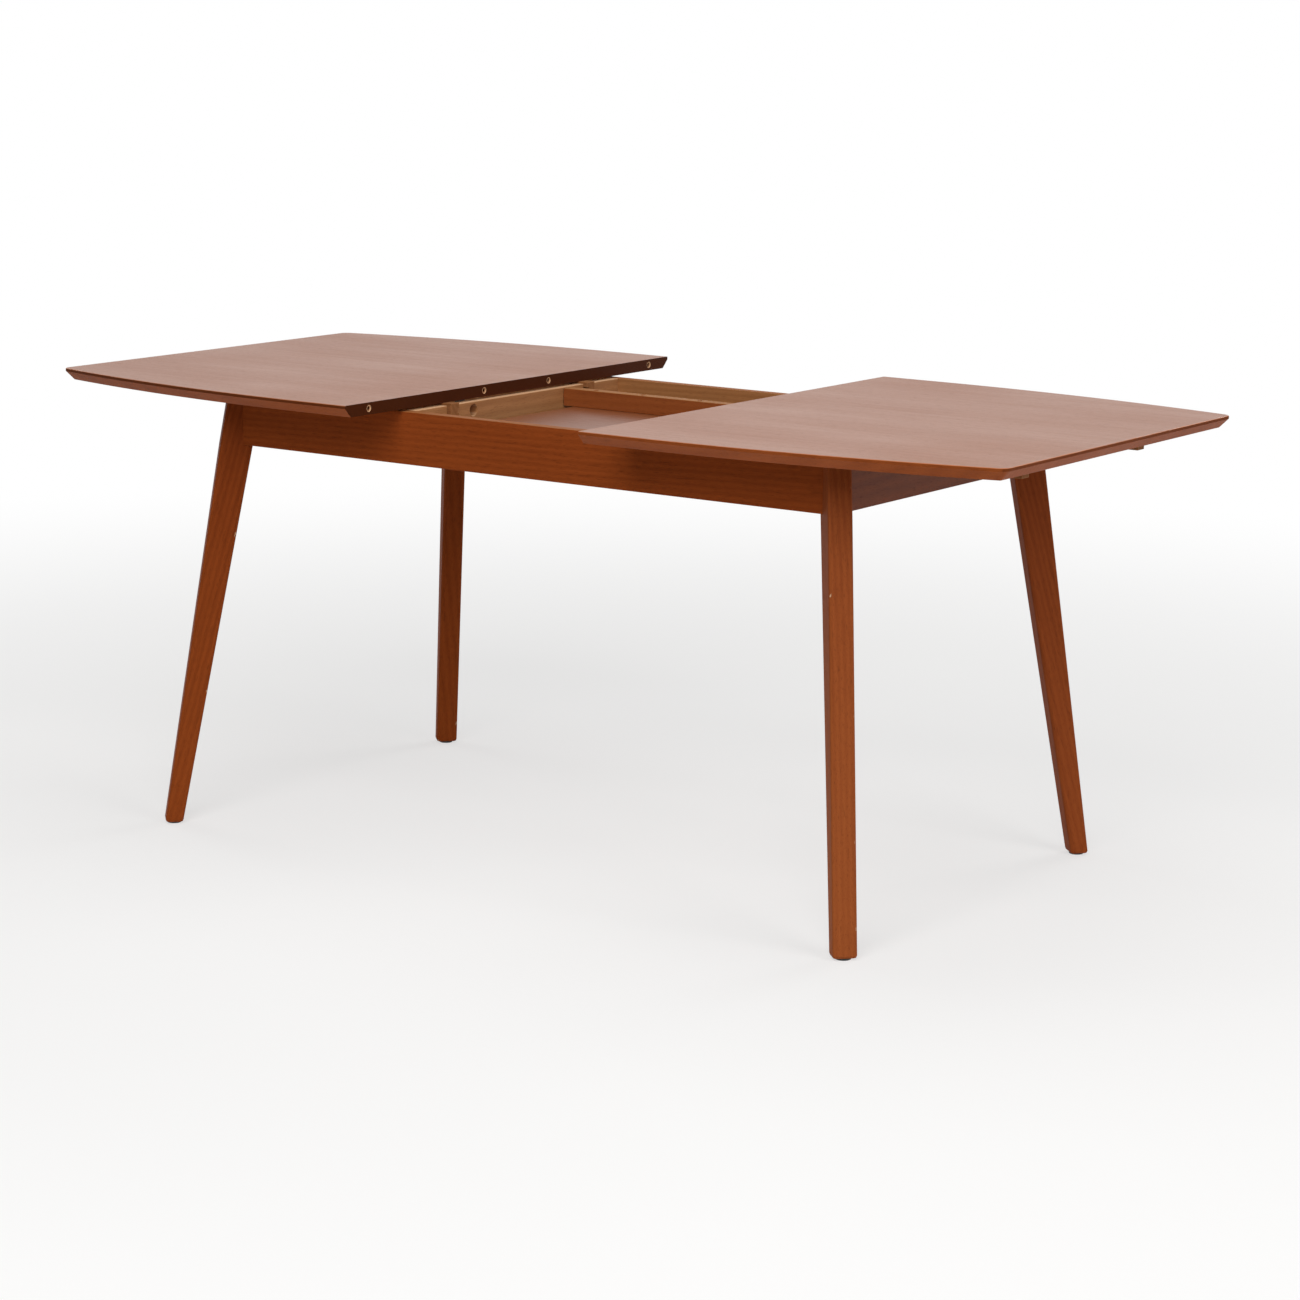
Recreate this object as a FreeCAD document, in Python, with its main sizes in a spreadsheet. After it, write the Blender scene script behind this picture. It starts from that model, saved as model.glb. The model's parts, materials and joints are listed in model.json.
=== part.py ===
import FreeCAD, Part
import math
import os
import re

import Sketcher
from FreeCAD import Placement, Rotation, Vector

# Butterfly leaf table. The top is in two halves that slide apart on wooden runners, and a leaf,
# folded face to face, lies in a well between two cross rails. A batten fixed to the leaf has turned
# ends that pivot in the cross rails: the folded leaf flips up about them and then opens flat.
#
# Frame: millimetres, origin on the floor under the table's middle, X along the length, front at -Y,
# Z up. At rest the halves are pulled apart and the leaf is stored.

# Driving sizes.
SIZES = [
    ("table_height", 750, "floor to the top's face"),
    ("top_thickness", 19.5, "both halves and the leaf"),
    ("top_half_length", 674, "one half, seam to end"),
    ("seam_half_width", 449, "centre line to the side at the seam"),
    ("side_drop", 77, "how far the side draws in from the seam to the end"),
    ("side_straight", 100, "straight run of the side next to the seam"),
    ("top_edge_bevel", 14.5, "bevel under the outer edges"),
    ("top_corner_round", 2, "corner in plan, at the bottom of the bevel"),
    ("top_arris_radius", 2, "round on the upper outer edges"),
    ("pull_clear", 31.5, "leaf's end to an opened seam"),
    ("top_clear", 3.8, "gap between a sliding half and the frame"),
    ("slide_clear", 0.3, "between a stop and what it stops"),
    ("end_overhang", 96, "closed top past the end aprons"),
    ("side_overhang", 146.5, "top past the side aprons, at the seam"),
    ("apron_thickness", 19, ""),
    ("apron_height", 84.5, ""),
    ("arris_radius", 1.2, "eased edges of aprons, rails, runners and batten"),
    ("leg_inset_x", 9, "centre of a leg's top inside the end apron's face"),
    ("leg_inset_y", 16, "centre of a leg's top inside the side apron's face"),
    ("leg_splay", 126, "plan run of a leg along its diagonal, top to floor"),
    ("leg_depth_top", 54, "along the diagonal"),
    ("leg_depth_foot", 30, "along the diagonal"),
    ("leg_width", 37.5, "across the diagonal"),
    ("leg_edge_radius", 6, ""),
    ("leg_foot_radius", 4.5, "round at the bottom of a leg"),
    ("glide_radius", 12, ""),
    ("glide_height", 3, ""),
    ("block_length", 150, "corner block across the diagonal, before it meets the aprons"),
    ("block_thickness", 36, "corner block along the diagonal"),
    ("block_height", 52, ""),
    ("block_drop", 24, "top of the corner block below the apron's top, under the runners"),
    ("bolt_radius", 4, ""),
    ("bolt_bite", 24, "hanger bolt in the leg"),
    ("bolt_spacing", 26, "between the two bolts of a leg"),
    ("bolt_end", 5, "bolt standing out of its nut"),
    ("washer_radius", 9, ""),
    ("washer_thickness", 1.6, ""),
    ("nut_radius", 7.5, "across the corners, halved"),
    ("nut_height", 6.5, ""),
    ("fit_clear", 0.1, "round fixed pieces in their holes"),
    ("rail_clear", 22.5, "leaf's end to a cross rail"),
    ("rail_thickness", 20, ""),
    ("runner_width", 22, ""),
    ("runner_height", 25.5, ""),
    ("runner_inset", 58, "right half's back runner to the back apron"),
    ("runner_pass", 2.5, "between a left and a right runner as they pass"),
    ("runner_inner_past", 8, "runner standing past the cross rail when open"),
    ("runner_outer_past", 18.5, "runner standing past the end apron when closed"),
    ("runner_clear", 0.5, "round a runner in its notches and guide"),
    ("groove_depth", 5, "groove in a runner's side"),
    ("groove_height", 8, ""),
    ("guide_width", 20, ""),
    ("guide_height", 40, ""),
    ("stop_radius", 3, "stop peg under a runner"),
    ("stop_drop", 7, "stop peg below the runner"),
    ("stop_seat", 12, "stop peg in the runner"),
    ("screw_radius", 2.2, ""),
    ("screw_head_radius", 4.5, ""),
    ("screw_head_height", 4, ""),
    ("screw_bite", 13, "screw in the panel that it holds to"),
    ("screw_recess", 9, "head's seat below the surface that it enters"),
    ("seam_pin_radius", 4, ""),
    ("seam_pin_seat", 15, "alignment pin in its own panel"),
    ("seam_pin_reach", 10, "alignment pin standing out"),
    ("seam_pin_inner", 90, "pin nearer to the centre line, from that line"),
    ("seam_pin_edge", 59, "pin nearer to the side, from the side"),
    ("seam_hole_radius", 4.6, ""),
    ("seam_hole_depth", 12, ""),
    ("fold_room", 22, "stored leaf's fold line to the back apron"),
    ("pivot_to_leaf", 17.5, "leaf's pivot to the back of the leaf"),
    ("pivot_clear", 0.3, "round the turned ends of the batten"),
    ("tenon_radius", 10, "turned ends of the batten"),
    ("batten_thickness", 22, ""),
    ("batten_relief", 5, "batten below the leaf's lift, so that the halves pass over it"),
    ("batten_end_clear", 1, "batten to cross rail"),
    ("leaf_length", 381, "leaf along X"),
    ("fold_clear", 0.4, "between the leaf's halves when flat"),
    ("leaf_gap", 2, "between the leaf's halves when folded"),
    ("fold_ease", 2, "eased edge of the leaf at the fold"),
    ("hinge_x", 130, "centre line to a hinge"),
    ("hinge_pin_radius", 1.5, ""),
    ("hinge_pin_depth", 4, "pin to the leaf's face"),
    ("hinge_plate_width", 26, "along X"),
    ("hinge_plate_depth", 23, "from the fold edge inwards"),
    ("hinge_plate_thickness", 10, "from the leaf's face inwards"),
    ("hinge_link_width", 10, "along X"),
    ("hinge_link_radius", 2.6, "rounded ends of a link"),
    ("hinge_clear", 0.4, "round a link in its slots"),
    ("peg_radius", 5, "leaf stop peg"),
    ("peg_setback", 13, "leaf stop peg to the fold edge of the stored leaf"),
    ("peg_seat", 14, "leaf stop peg in the cross rail"),
    ("peg_reach", 16, "leaf stop peg over the leaf"),
    ("overrun", 5, "cuts pass this far beyond the surface"),
]

# Worked-out sizes and places.
LAYOUT = [
    ("leaf_half", "leaf_length / 2"),
    ("top_pull", "leaf_half + pull_clear"),
    ("rail_inner", "leaf_half + rail_clear"),
    ("top_under", "table_height - top_thickness"),
    ("side_run", "top_half_length - side_straight"),
    ("side_radius", "(side_run^2 + side_drop^2) / (2 * side_drop)"),
    ("side_centre", "seam_half_width - side_radius"),
    ("top_corner_radius", "top_edge_bevel + top_corner_round"),
    ("apron_top", "top_under - top_clear"),
    ("apron_bottom", "apron_top - apron_height"),
    ("frame_half_length", "top_half_length - end_overhang"),
    ("frame_half_width", "seam_half_width - side_overhang"),
    ("apron_inner_y", "frame_half_width - apron_thickness"),
    ("apron_inner_x", "frame_half_length - apron_thickness"),
    ("leg_top_x", "frame_half_length - leg_inset_x"),
    ("leg_top_y", "frame_half_width - leg_inset_y"),
    ("leg_diagonal", "leg_top_x - leg_top_y"),
    ("leg_side", "leg_width / sqrt(2)"),
    ("side_apron_out", "leg_diagonal + frame_half_width - leg_side"),
    ("side_apron_in", "side_apron_out - apron_thickness"),
    ("end_apron_out", "frame_half_length - leg_diagonal - leg_side"),
    ("end_apron_in", "end_apron_out - apron_thickness"),
    ("leg_foot_height", "glide_height + leg_foot_radius"),
    ("leg_foot_centre", "leg_splay * (1 - leg_foot_height / apron_top)"),
    ("leg_foot_near", "leg_foot_centre - leg_depth_foot / 2"),
    ("leg_foot_far", "leg_foot_centre + leg_depth_foot / 2"),
    ("leg_foot_half", "leg_width / 2"),
    ("leg_heel_inset", "leg_foot_radius * (1 - sqrt(2) / 2)"),
    ("leg_heel_height", "glide_height + leg_heel_inset"),
    ("leg_heel_near", "leg_foot_near + leg_heel_inset"),
    ("leg_heel_far", "leg_foot_far - leg_heel_inset"),
    ("leg_heel_half", "leg_foot_half - leg_heel_inset"),
    ("leg_heel_corner", "leg_edge_radius - leg_heel_inset"),
    ("leg_sole_near", "leg_foot_near + leg_foot_radius"),
    ("leg_sole_far", "leg_foot_far - leg_foot_radius"),
    ("leg_sole_half", "leg_foot_half - leg_foot_radius"),
    ("leg_sole_corner", "leg_edge_radius - leg_foot_radius"),
    ("leg_knee_centre", "leg_splay * (1 - apron_bottom / apron_top)"),
    ("leg_knee_near", "leg_knee_centre - leg_depth_top / 2"),
    ("leg_knee_far", "leg_knee_centre + leg_depth_top / 2"),
    ("leg_knee_half", "leg_width / 2"),
    ("leg_top_near", "-leg_depth_top / 2"),
    ("leg_top_far", "leg_depth_top / 2"),
    ("leg_top_half", "leg_width / 2"),
    ("block_top", "apron_top - block_drop"),
    ("block_bottom", "block_top - block_height"),
    ("block_out", "leg_splay * (1 - block_bottom / apron_top) - leg_depth_top / 2"),
    ("block_in", "block_out - block_thickness"),
    ("bolt_start", "block_in - washer_thickness - nut_height - bolt_end"),
    ("bolt_length", "block_out + bolt_bite - bolt_start"),
    ("bolt_mid", "(block_top + block_bottom) / 2"),
    ("runner_step", "runner_width + runner_pass"),
    ("runner_spread", "apron_inner_y - runner_inset - runner_width / 2 - runner_step"),
    ("runner_bottom", "top_under - runner_height"),
    ("runner_inner", "rail_inner - runner_inner_past"),
    ("runner_outer", "frame_half_length + runner_outer_past + top_pull"),
    ("runner_length", "runner_outer - runner_inner"),
    ("notch_width", "runner_width + 2 * runner_clear"),
    ("notch_bottom", "runner_bottom - runner_clear"),
    ("groove_low", "runner_bottom + (runner_height - groove_height) / 2"),
    ("tongue_height", "groove_height - 2 * runner_clear"),
    ("tongue_low", "groove_low + runner_clear"),
    ("guide_length", "apron_inner_x - rail_inner - rail_thickness"),
    ("stop_x", "rail_inner - stop_radius - slide_clear"),
    ("pin_middle_z", "table_height - top_thickness / 2"),
    ("seam_pin_outer", "seam_half_width - seam_pin_edge"),
    ("pivot_z", "top_under - pivot_to_leaf"),
    ("fold_y", "apron_inner_y - fold_room"),
    ("pivot_y", "fold_y / 2"),
    ("leaf_front", "fold_y - seam_half_width"),
    ("leaf_front_bevel", "leaf_front + top_edge_bevel"),
    ("fold_end", "fold_y - fold_clear / 2"),
    ("fold_end_ease", "fold_end - fold_ease"),
    ("hinge_pin_setback", "hinge_pin_depth + (leaf_gap - fold_clear) / 2"),
    ("upper_back", "pivot_z - pivot_to_leaf"),
    ("upper_back_bevel", "upper_back - top_edge_bevel"),
    ("upper_face", "upper_back - top_thickness"),
    ("upper_face_ease", "upper_face + fold_ease"),
    ("upper_plate", "upper_face + hinge_plate_thickness"),
    ("upper_pin_z", "upper_face + hinge_pin_depth"),
    ("upper_middle", "(upper_face + upper_back) / 2"),
    ("lower_face", "upper_face - leaf_gap"),
    ("lower_face_ease", "lower_face - fold_ease"),
    ("lower_plate", "lower_face - hinge_plate_thickness"),
    ("lower_pin_z", "lower_face - hinge_pin_depth"),
    ("lower_back", "lower_face - top_thickness"),
    ("lower_back_bevel", "lower_back + top_edge_bevel"),
    ("lower_middle", "(lower_face + lower_back) / 2"),
    ("hinge_pin_y", "fold_end - hinge_pin_setback"),
    ("hinge_plate_end", "fold_end - hinge_plate_depth"),
    ("hinge_slot", "hinge_link_radius + hinge_clear"),
    ("batten_half", "rail_inner - batten_end_clear"),
    ("batten_height", "2 * pivot_to_leaf - batten_relief"),
    ("batten_top", "upper_back + batten_height"),
    ("tenon_length", "rail_thickness + batten_end_clear"),
    ("peg_y", "fold_end - peg_setback"),
    ("peg_z", "upper_back + slide_clear + peg_radius"),
    ("peg_length", "peg_seat + rail_inner - leaf_half + peg_reach"),
]

RUNNER_SCREW_SHARES = (0.12, 0.5, 0.88)     # along a runner
BATTEN_SCREW_SHARES = (-0.8, -0.3, 0.3, 0.8)    # along half of the leaf's length

# Sections of a leg from the sole up, with their height and corner radius. The sole, the heel and the
# foot follow the round under the leg.
LEG_SECTIONS = [
    ("sole", "glide_height", "leg_sole_corner"),
    ("heel", "leg_heel_height", "leg_heel_corner"),
    ("foot", "leg_foot_height", "leg_edge_radius"),
    ("knee", "apron_bottom", "leg_edge_radius"),
    ("top", "apron_top", "leg_edge_radius"),
]

# Which way each corner, side and end lies from the table's middle.
CORNERS = {"front_left": (-1, -1), "front_right": (1, -1), "back_right": (1, 1), "back_left": (-1, 1)}
SIDES = {"front": -1, "back": 1}
ENDS = {"left": -1, "right": 1}

X_AXIS, Y_AXIS = Vector(1, 0, 0), Vector(0, 1, 0)
FLAT = 1e-5     # an edge counts as level, or on the seam, within this

doc = FreeCAD.newDocument("butterfly_leaf_table")
nodes = {}
WORD = re.compile(r"[a-z][a-z_]*")
HELD_BY = {name: "Sizes" for name, _, _ in SIZES}
HELD_BY.update({name: "Layout" for name, _ in LAYOUT})


def ref(formula, home=None):
    """Point each size named in a formula at the sheet that holds it."""
    def cell(match):
        word = match.group()
        sheet = HELD_BY.get(word)
        return word if sheet in (None, home) else f"{sheet}.{word}"
    return WORD.sub(cell, formula)


def write_sheets():
    sizes = doc.addObject("Spreadsheet::Sheet", "Sizes")
    for row, (name, number, note) in enumerate(SIZES, 1):
        sizes.set(f"A{row}", name)
        sizes.set(f"B{row}", str(number))
        sizes.set(f"C{row}", note)
        sizes.setAlias(f"B{row}", name)
    doc.recompute()
    layout = doc.addObject("Spreadsheet::Sheet", "Layout")
    for row, (name, formula) in enumerate(LAYOUT, 1):
        layout.set(f"A{row}", name)
        layout.setAlias(f"B{row}", name)
        layout.set(f"B{row}", "=" + ref(formula, home="Layout"))
    doc.recompute()


def number(term):
    """The present value of one size, which may have a minus sign."""
    name = term.lstrip("-")
    found = float(doc.getObject(HELD_BY[name]).get(name))
    return -found if term.startswith("-") else found


def bind(obj, **formulas):
    for prop, formula in formulas.items():
        obj.setExpression(prop, ref(formula))
    return obj


def put(obj, x="0", y="0", z="0", turn=Rotation()):
    obj.Placement = Placement(Vector(), turn)
    for axis, formula in zip("xyz", (x, y, z)):
        obj.setExpression(f"Placement.Base.{axis}", ref(formula))
    return obj


def node(name, obj):
    """Name a finished sub-part."""
    obj.Label = name
    nodes[name] = obj
    return obj


def box(name, low, size, turn=Rotation()):
    obj = bind(doc.addObject("Part::Box", name), Length=size[0], Width=size[1], Height=size[2])
    return put(obj, *low, turn=turn)


def rod(name, radius, length, start, along=Vector(0, 0, 1)):
    obj = bind(doc.addObject("Part::Cylinder", name), Radius=radius, Height=length)
    return put(obj, *start, turn=Rotation(Vector(0, 0, 1), along))


def fuse(name, shapes):
    obj = doc.addObject("Part::MultiFuse", name)
    obj.Shapes = shapes
    return obj


def cut(name, base, tools):
    obj = doc.addObject("Part::Cut", name)
    obj.Base = base
    obj.Tool = tools[0] if len(tools) == 1 else fuse(f"{name}_tools", tools)
    return obj


def group(name, shapes):
    obj = doc.addObject("Part::Compound", f"{name}_group")
    obj.Links = shapes
    return node(name, obj)


def origin_plane(body, role):
    return next(plane for plane in body.Origin.OriginFeatures if plane.Role == role)


def new_sketch(body, name, role="XY_Plane"):
    sketch = body.newObject("Sketcher::SketchObject", name)
    sketch.AttachmentSupport = [(origin_plane(body, role), "")]
    sketch.MapMode = "FlatFace"
    return sketch


def hold(sketch, kind, geometry, point, term):
    """Hold a point of a sketch at a named distance from the sketch's origin."""
    index = sketch.addConstraint(
        Sketcher.Constraint(kind, -1, 1, geometry, point, number(term)))
    sketch.setExpression(f"Constraints[{index}]", ref(term))


def set_radius(sketch, geometry, term):
    index = sketch.addConstraint(Sketcher.Constraint("Radius", geometry, number(term)))
    sketch.setExpression(f"Constraints[{index}]", ref(term))


def arc(middle, radius, start, end):
    return Part.ArcOfCircle(Part.Circle(middle, Vector(0, 0, 1), radius), start, end)


def runs_along(edge, axis):
    """Whether an edge is straight and parallel to an axis."""
    way = edge.Vertexes[-1].Point - edge.Vertexes[0].Point
    return way.cross(axis).Length < FLAT * way.Length


def round_edges(body, name, edges, radius):
    """Round the named edges of a body's last feature."""
    base = body.Tip
    fillet = body.newObject("PartDesign::Fillet", name)
    fillet.Base = (base, edges)
    bind(fillet, Radius=radius)
    body.Tip = fillet
    doc.recompute()


def eased(obj):
    """A plain block with all its edges rounded off a little."""
    doc.recompute()
    radius = number("arris_radius")
    fillet = doc.addObject("Part::Fillet", f"{obj.Name}_eased")
    fillet.Base = obj
    fillet.Edges = [(index, radius, radius) for index in range(1, len(obj.Shape.Edges) + 1)]
    return fillet


def polygon_body(name, role, points, length, ease_along=None):
    """A padded polygon whose corners are named places in one of the body's origin planes."""
    body = doc.addObject("PartDesign::Body", f"{name}_body")
    sketch = new_sketch(body, f"{name}_outline", role)
    places = [Vector(number(a), number(b), 0) for a, b in points]
    count = len(points)
    for index in range(count):
        sketch.addGeometry(Part.LineSegment(places[index], places[(index + 1) % count]), False)
    for index in range(count):
        sketch.addConstraint(Sketcher.Constraint("Coincident", index, 2, (index + 1) % count, 1))
    for index, (a, b) in enumerate(points):
        hold(sketch, "DistanceX", index, 1, a)
        hold(sketch, "DistanceY", index, 1, b)
    pad = body.newObject("PartDesign::Pad", f"{name}_pad")
    pad.Profile = sketch
    bind(pad, Length=length)
    body.Tip = pad
    doc.recompute()
    if ease_along:
        edges = [f"Edge{index}" for index, edge in enumerate(pad.Shape.Edges, 1)
                 if runs_along(edge, ease_along)]
        round_edges(body, f"{name}_arris", edges, "arris_radius")
    return body


def edges_at(shape, height, skip):
    """Names of the edges that lie flat at a height, without those that skip picks out."""
    found = []
    for index, edge in enumerate(shape.Edges, 1):
        bounds = edge.BoundBox
        level = all(math.isclose(z, height, abs_tol=FLAT) for z in (bounds.ZMin, bounds.ZMax))
        if level and not skip(bounds):
            found.append(f"Edge{index}")
    return found


def half_top_body(name):
    """One half of the top, seam on its own Y axis: straight, then bowed sides, rounded end corners."""
    body = doc.addObject("PartDesign::Body", f"{name}_body")
    sketch = new_sketch(body, f"{name}_outline")
    length, width, radius = number("top_half_length"), number("seam_half_width"), number("side_radius")
    straight, centre, corner = number("side_straight"), number("side_centre"), number("top_corner_radius")
    corner_x = length - corner
    corner_y = centre + math.sqrt((radius - corner) ** 2 - (corner_x - straight) ** 2)
    angle = math.atan2(corner_y - centre, corner_x - straight)
    sketch.addGeometry([
        Part.LineSegment(Vector(0, width, 0), Vector(0, -width, 0)),
        Part.LineSegment(Vector(0, -width, 0), Vector(straight, -width, 0)),
        arc(Vector(straight, -centre, 0), radius, -math.pi / 2, -angle),
        arc(Vector(corner_x, -corner_y, 0), corner, -angle, 0),
        Part.LineSegment(Vector(length, -corner_y, 0), Vector(length, corner_y, 0)),
        arc(Vector(corner_x, corner_y, 0), corner, 0, angle),
        arc(Vector(straight, centre, 0), radius, angle, math.pi / 2),
        Part.LineSegment(Vector(straight, width, 0), Vector(0, width, 0)),
    ], False)
    seam, low_side, low_bow, low_corner, end, high_corner, high_bow, high_side = range(8)
    rules = [("Coincident", seam, 2, low_side, 1), ("Coincident", high_side, 2, seam, 1)]
    for before, after in zip(range(low_side, high_side), range(low_bow, high_side + 1)):
        rules.append(("Tangent", before, 2, after, 1))
    rules += [("Vertical", seam), ("Vertical", end), ("Horizontal", low_side), ("Horizontal", high_side),
              ("PointOnObject", seam, 1, -2)]
    for rule in rules:
        sketch.addConstraint(Sketcher.Constraint(*rule))
    for bow, middle in ((low_bow, "-side_centre"), (high_bow, "side_centre")):
        hold(sketch, "DistanceX", bow, 3, "side_straight")
        hold(sketch, "DistanceY", bow, 3, middle)
        set_radius(sketch, bow, "side_radius")
    for rounded in (low_corner, high_corner):
        set_radius(sketch, rounded, "top_corner_radius")
    hold(sketch, "DistanceX", end, 1, "top_half_length")
    pad = body.newObject("PartDesign::Pad", f"{name}_pad")
    pad.Profile = sketch
    bind(pad, Length="top_thickness")
    body.Tip = pad
    doc.recompute()

    def on_seam(bounds):
        return bounds.XMax < FLAT

    bevel = body.newObject("PartDesign::Chamfer", f"{name}_bevel")
    bevel.Base = (pad, edges_at(pad.Shape, 0, on_seam))
    bind(bevel, Size="top_edge_bevel")
    body.Tip = bevel
    doc.recompute()
    round_edges(body, f"{name}_arris", edges_at(bevel.Shape, number("top_thickness"), on_seam),
                "top_arris_radius")
    return body


def leg_section(body, name, place, height, corner):
    """A rounded rectangle at a height of a leg: near and far along the diagonal, half across it."""
    sketch = new_sketch(body, f"{name}_{place}")
    sketch.setExpression("AttachmentOffset.Base.z", ref(height))
    near, far, half = (f"leg_{place}_{edge}" for edge in ("near", "far", "half"))
    low, high, side, radius = number(near), number(far), number(half), number(corner)
    corners = [(high - radius, -side + radius, -math.pi / 2), (high - radius, side - radius, 0),
               (low + radius, side - radius, math.pi / 2), (low + radius, -side + radius, math.pi)]
    arcs = [arc(Vector(x, y, 0), radius, start, start + math.pi / 2) for x, y, start in corners]
    loop = []
    for index, bend in enumerate(arcs):
        loop += [Part.LineSegment(arcs[index - 1].EndPoint, bend.StartPoint), bend]
    sketch.addGeometry(loop, False)
    count = len(loop)
    for index in range(count):
        sketch.addConstraint(Sketcher.Constraint("Tangent", index, 2, (index + 1) % count, 1))
    for line in (0, 4):
        sketch.addConstraint(Sketcher.Constraint("Horizontal", line))
    for line in (2, 6):
        sketch.addConstraint(Sketcher.Constraint("Vertical", line))
    for bend in range(1, count, 2):
        set_radius(sketch, bend, corner)
    hold(sketch, "DistanceY", 0, 1, "-" + half)
    hold(sketch, "DistanceX", 2, 1, far)
    hold(sketch, "DistanceY", 4, 1, half)
    hold(sketch, "DistanceX", 6, 1, near)
    return sketch


def leg_body(name):
    """A leg in its own frame: X outwards along the diagonal from the middle of the leg's top."""
    body = doc.addObject("PartDesign::Body", f"{name}_body")
    sections = [leg_section(body, name, *section) for section in LEG_SECTIONS]
    loft = body.newObject("PartDesign::AdditiveLoft", f"{name}_loft")
    loft.Profile = sections[0]
    loft.Sections = sections[1:]
    loft.Ruled = True
    body.Tip = loft
    doc.recompute()
    return body


def make_aprons():
    side_outline = [("-side_apron_out", "-frame_half_width"), ("side_apron_out", "-frame_half_width"),
                    ("side_apron_in", "-apron_inner_y"), ("-side_apron_in", "-apron_inner_y")]
    for side, sign in SIDES.items():
        body = polygon_body(f"{side}_apron", "XY_Plane", side_outline, "apron_height", X_AXIS)
        turn = Rotation(Vector(0, 0, 1), 90 + 90 * sign)
        node(f"{side}_apron", put(body, z="apron_bottom", turn=turn))

    end_outline = [("frame_half_length", "-end_apron_out"), ("frame_half_length", "end_apron_out"),
                   ("apron_inner_x", "end_apron_in"), ("apron_inner_x", "-end_apron_in")]
    for end, sign in ENDS.items():
        body = polygon_body(f"{end}_end_apron", "XY_Plane", end_outline, "apron_height", Y_AXIS)
        put(body, z="apron_bottom", turn=Rotation(Vector(0, 0, 1), 90 - 90 * sign))
        inner = "apron_inner_x - overrun" if sign > 0 else "-frame_half_length - overrun"
        notches = [runner_notch(f"{end}_end", end, side, inner, "apron_thickness + 2 * overrun")
                   for side in SIDES]
        node(f"{end}_end_apron", cut(f"{end}_end_apron_notched", body, notches))


def runner_middle(end, side):
    """Y of a runner. Both halves have the same pair, and the right one stands a step further back."""
    step = " + runner_step" if end == "right" else ""
    return f"{SIDES[side]} * runner_spread{step}"


def runner_notch(owner, end, side, low_x, length):
    """The slot that one runner slides in, open at the top."""
    middle = runner_middle(end, side)
    return box(f"{owner}_{side}_notch", (low_x, f"{middle} - notch_width / 2", "notch_bottom"),
               (length, "notch_width", "table_height - notch_bottom"))


def on_diagonal(sign_x, sign_y, reach):
    """Plan place at a reach along a corner's diagonal from the middle of the leg's top."""
    return (f"{sign_x} * (leg_top_x + ({reach}) / sqrt(2))",
            f"{sign_y} * (leg_top_y + ({reach}) / sqrt(2))")


def make_corners():
    """Legs, corner blocks and their bolts, and the glides under the feet."""
    inside = box("frame_inside", ("-apron_inner_x", "-apron_inner_y", "0"),
                 ("2 * apron_inner_x", "2 * apron_inner_y", "table_height"))
    bolts, washers, nuts, glides = [], [], [], []
    for corner, (sx, sy) in CORNERS.items():
        outwards = Vector(sx, sy, 0)
        facing = Rotation(X_AXIS, outwards)
        leg = put(leg_body(f"leg_{corner}"), f"{sx} * leg_top_x", f"{sy} * leg_top_y", turn=facing)
        bores = []
        for level, offset in (("low", "-bolt_spacing / 2"), ("high", "bolt_spacing / 2")):
            tag = f"{corner}_{level}"
            height = f"bolt_mid + {offset}"

            def along(name, radius, length, reach):
                return rod(f"{name}_{tag}", radius, length, (*on_diagonal(sx, sy, reach), height), outwards)

            bores.append(along("bolt_bore", "bolt_radius + fit_clear", "bolt_length + fit_clear",
                               "bolt_start"))
            bolts.append(along("bolt", "bolt_radius", "bolt_length", "bolt_start"))
            washer = along("washer_disc", "washer_radius", "washer_thickness",
                           "block_in - washer_thickness")
            washers.append(cut(f"washer_{tag}", washer, [bores[-1]]))
            hexagon = bind(doc.addObject("Part::Prism", f"nut_hexagon_{tag}"),
                           Circumradius="nut_radius", Height="nut_height")
            hexagon.Polygon = 6
            put(hexagon, *on_diagonal(sx, sy, "block_in - washer_thickness - nut_height"), height,
                turn=Rotation(Vector(0, 0, 1), outwards))
            nuts.append(cut(f"nut_{tag}", hexagon, [bores[-1]]))

        x, y = on_diagonal(sx, sy, "block_in")
        block = box(f"block_blank_{corner}",
                    (f"{x} + {sy} * block_length / sqrt(8)", f"{y} - {sx} * block_length / sqrt(8)",
                     "block_bottom"),
                    ("block_thickness", "block_length", "block_height"), turn=facing)
        fitted = doc.addObject("Part::Common", f"block_between_aprons_{corner}")
        fitted.Base, fitted.Tool = block, inside
        node(f"corner_block_{corner}", cut(f"block_{corner}", fitted, [leg, *bores]))
        node(f"leg_{corner}", cut(f"leg_bored_{corner}", leg, bores))
        glides.append(rod(f"glide_{corner}", "glide_radius", "glide_height",
                          (*on_diagonal(sx, sy, "leg_foot_centre"), "0")))
    group("hanger_bolts", bolts)
    group("bolt_washers", washers)
    group("bolt_nuts", nuts)
    group("foot_glides", glides)


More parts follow.
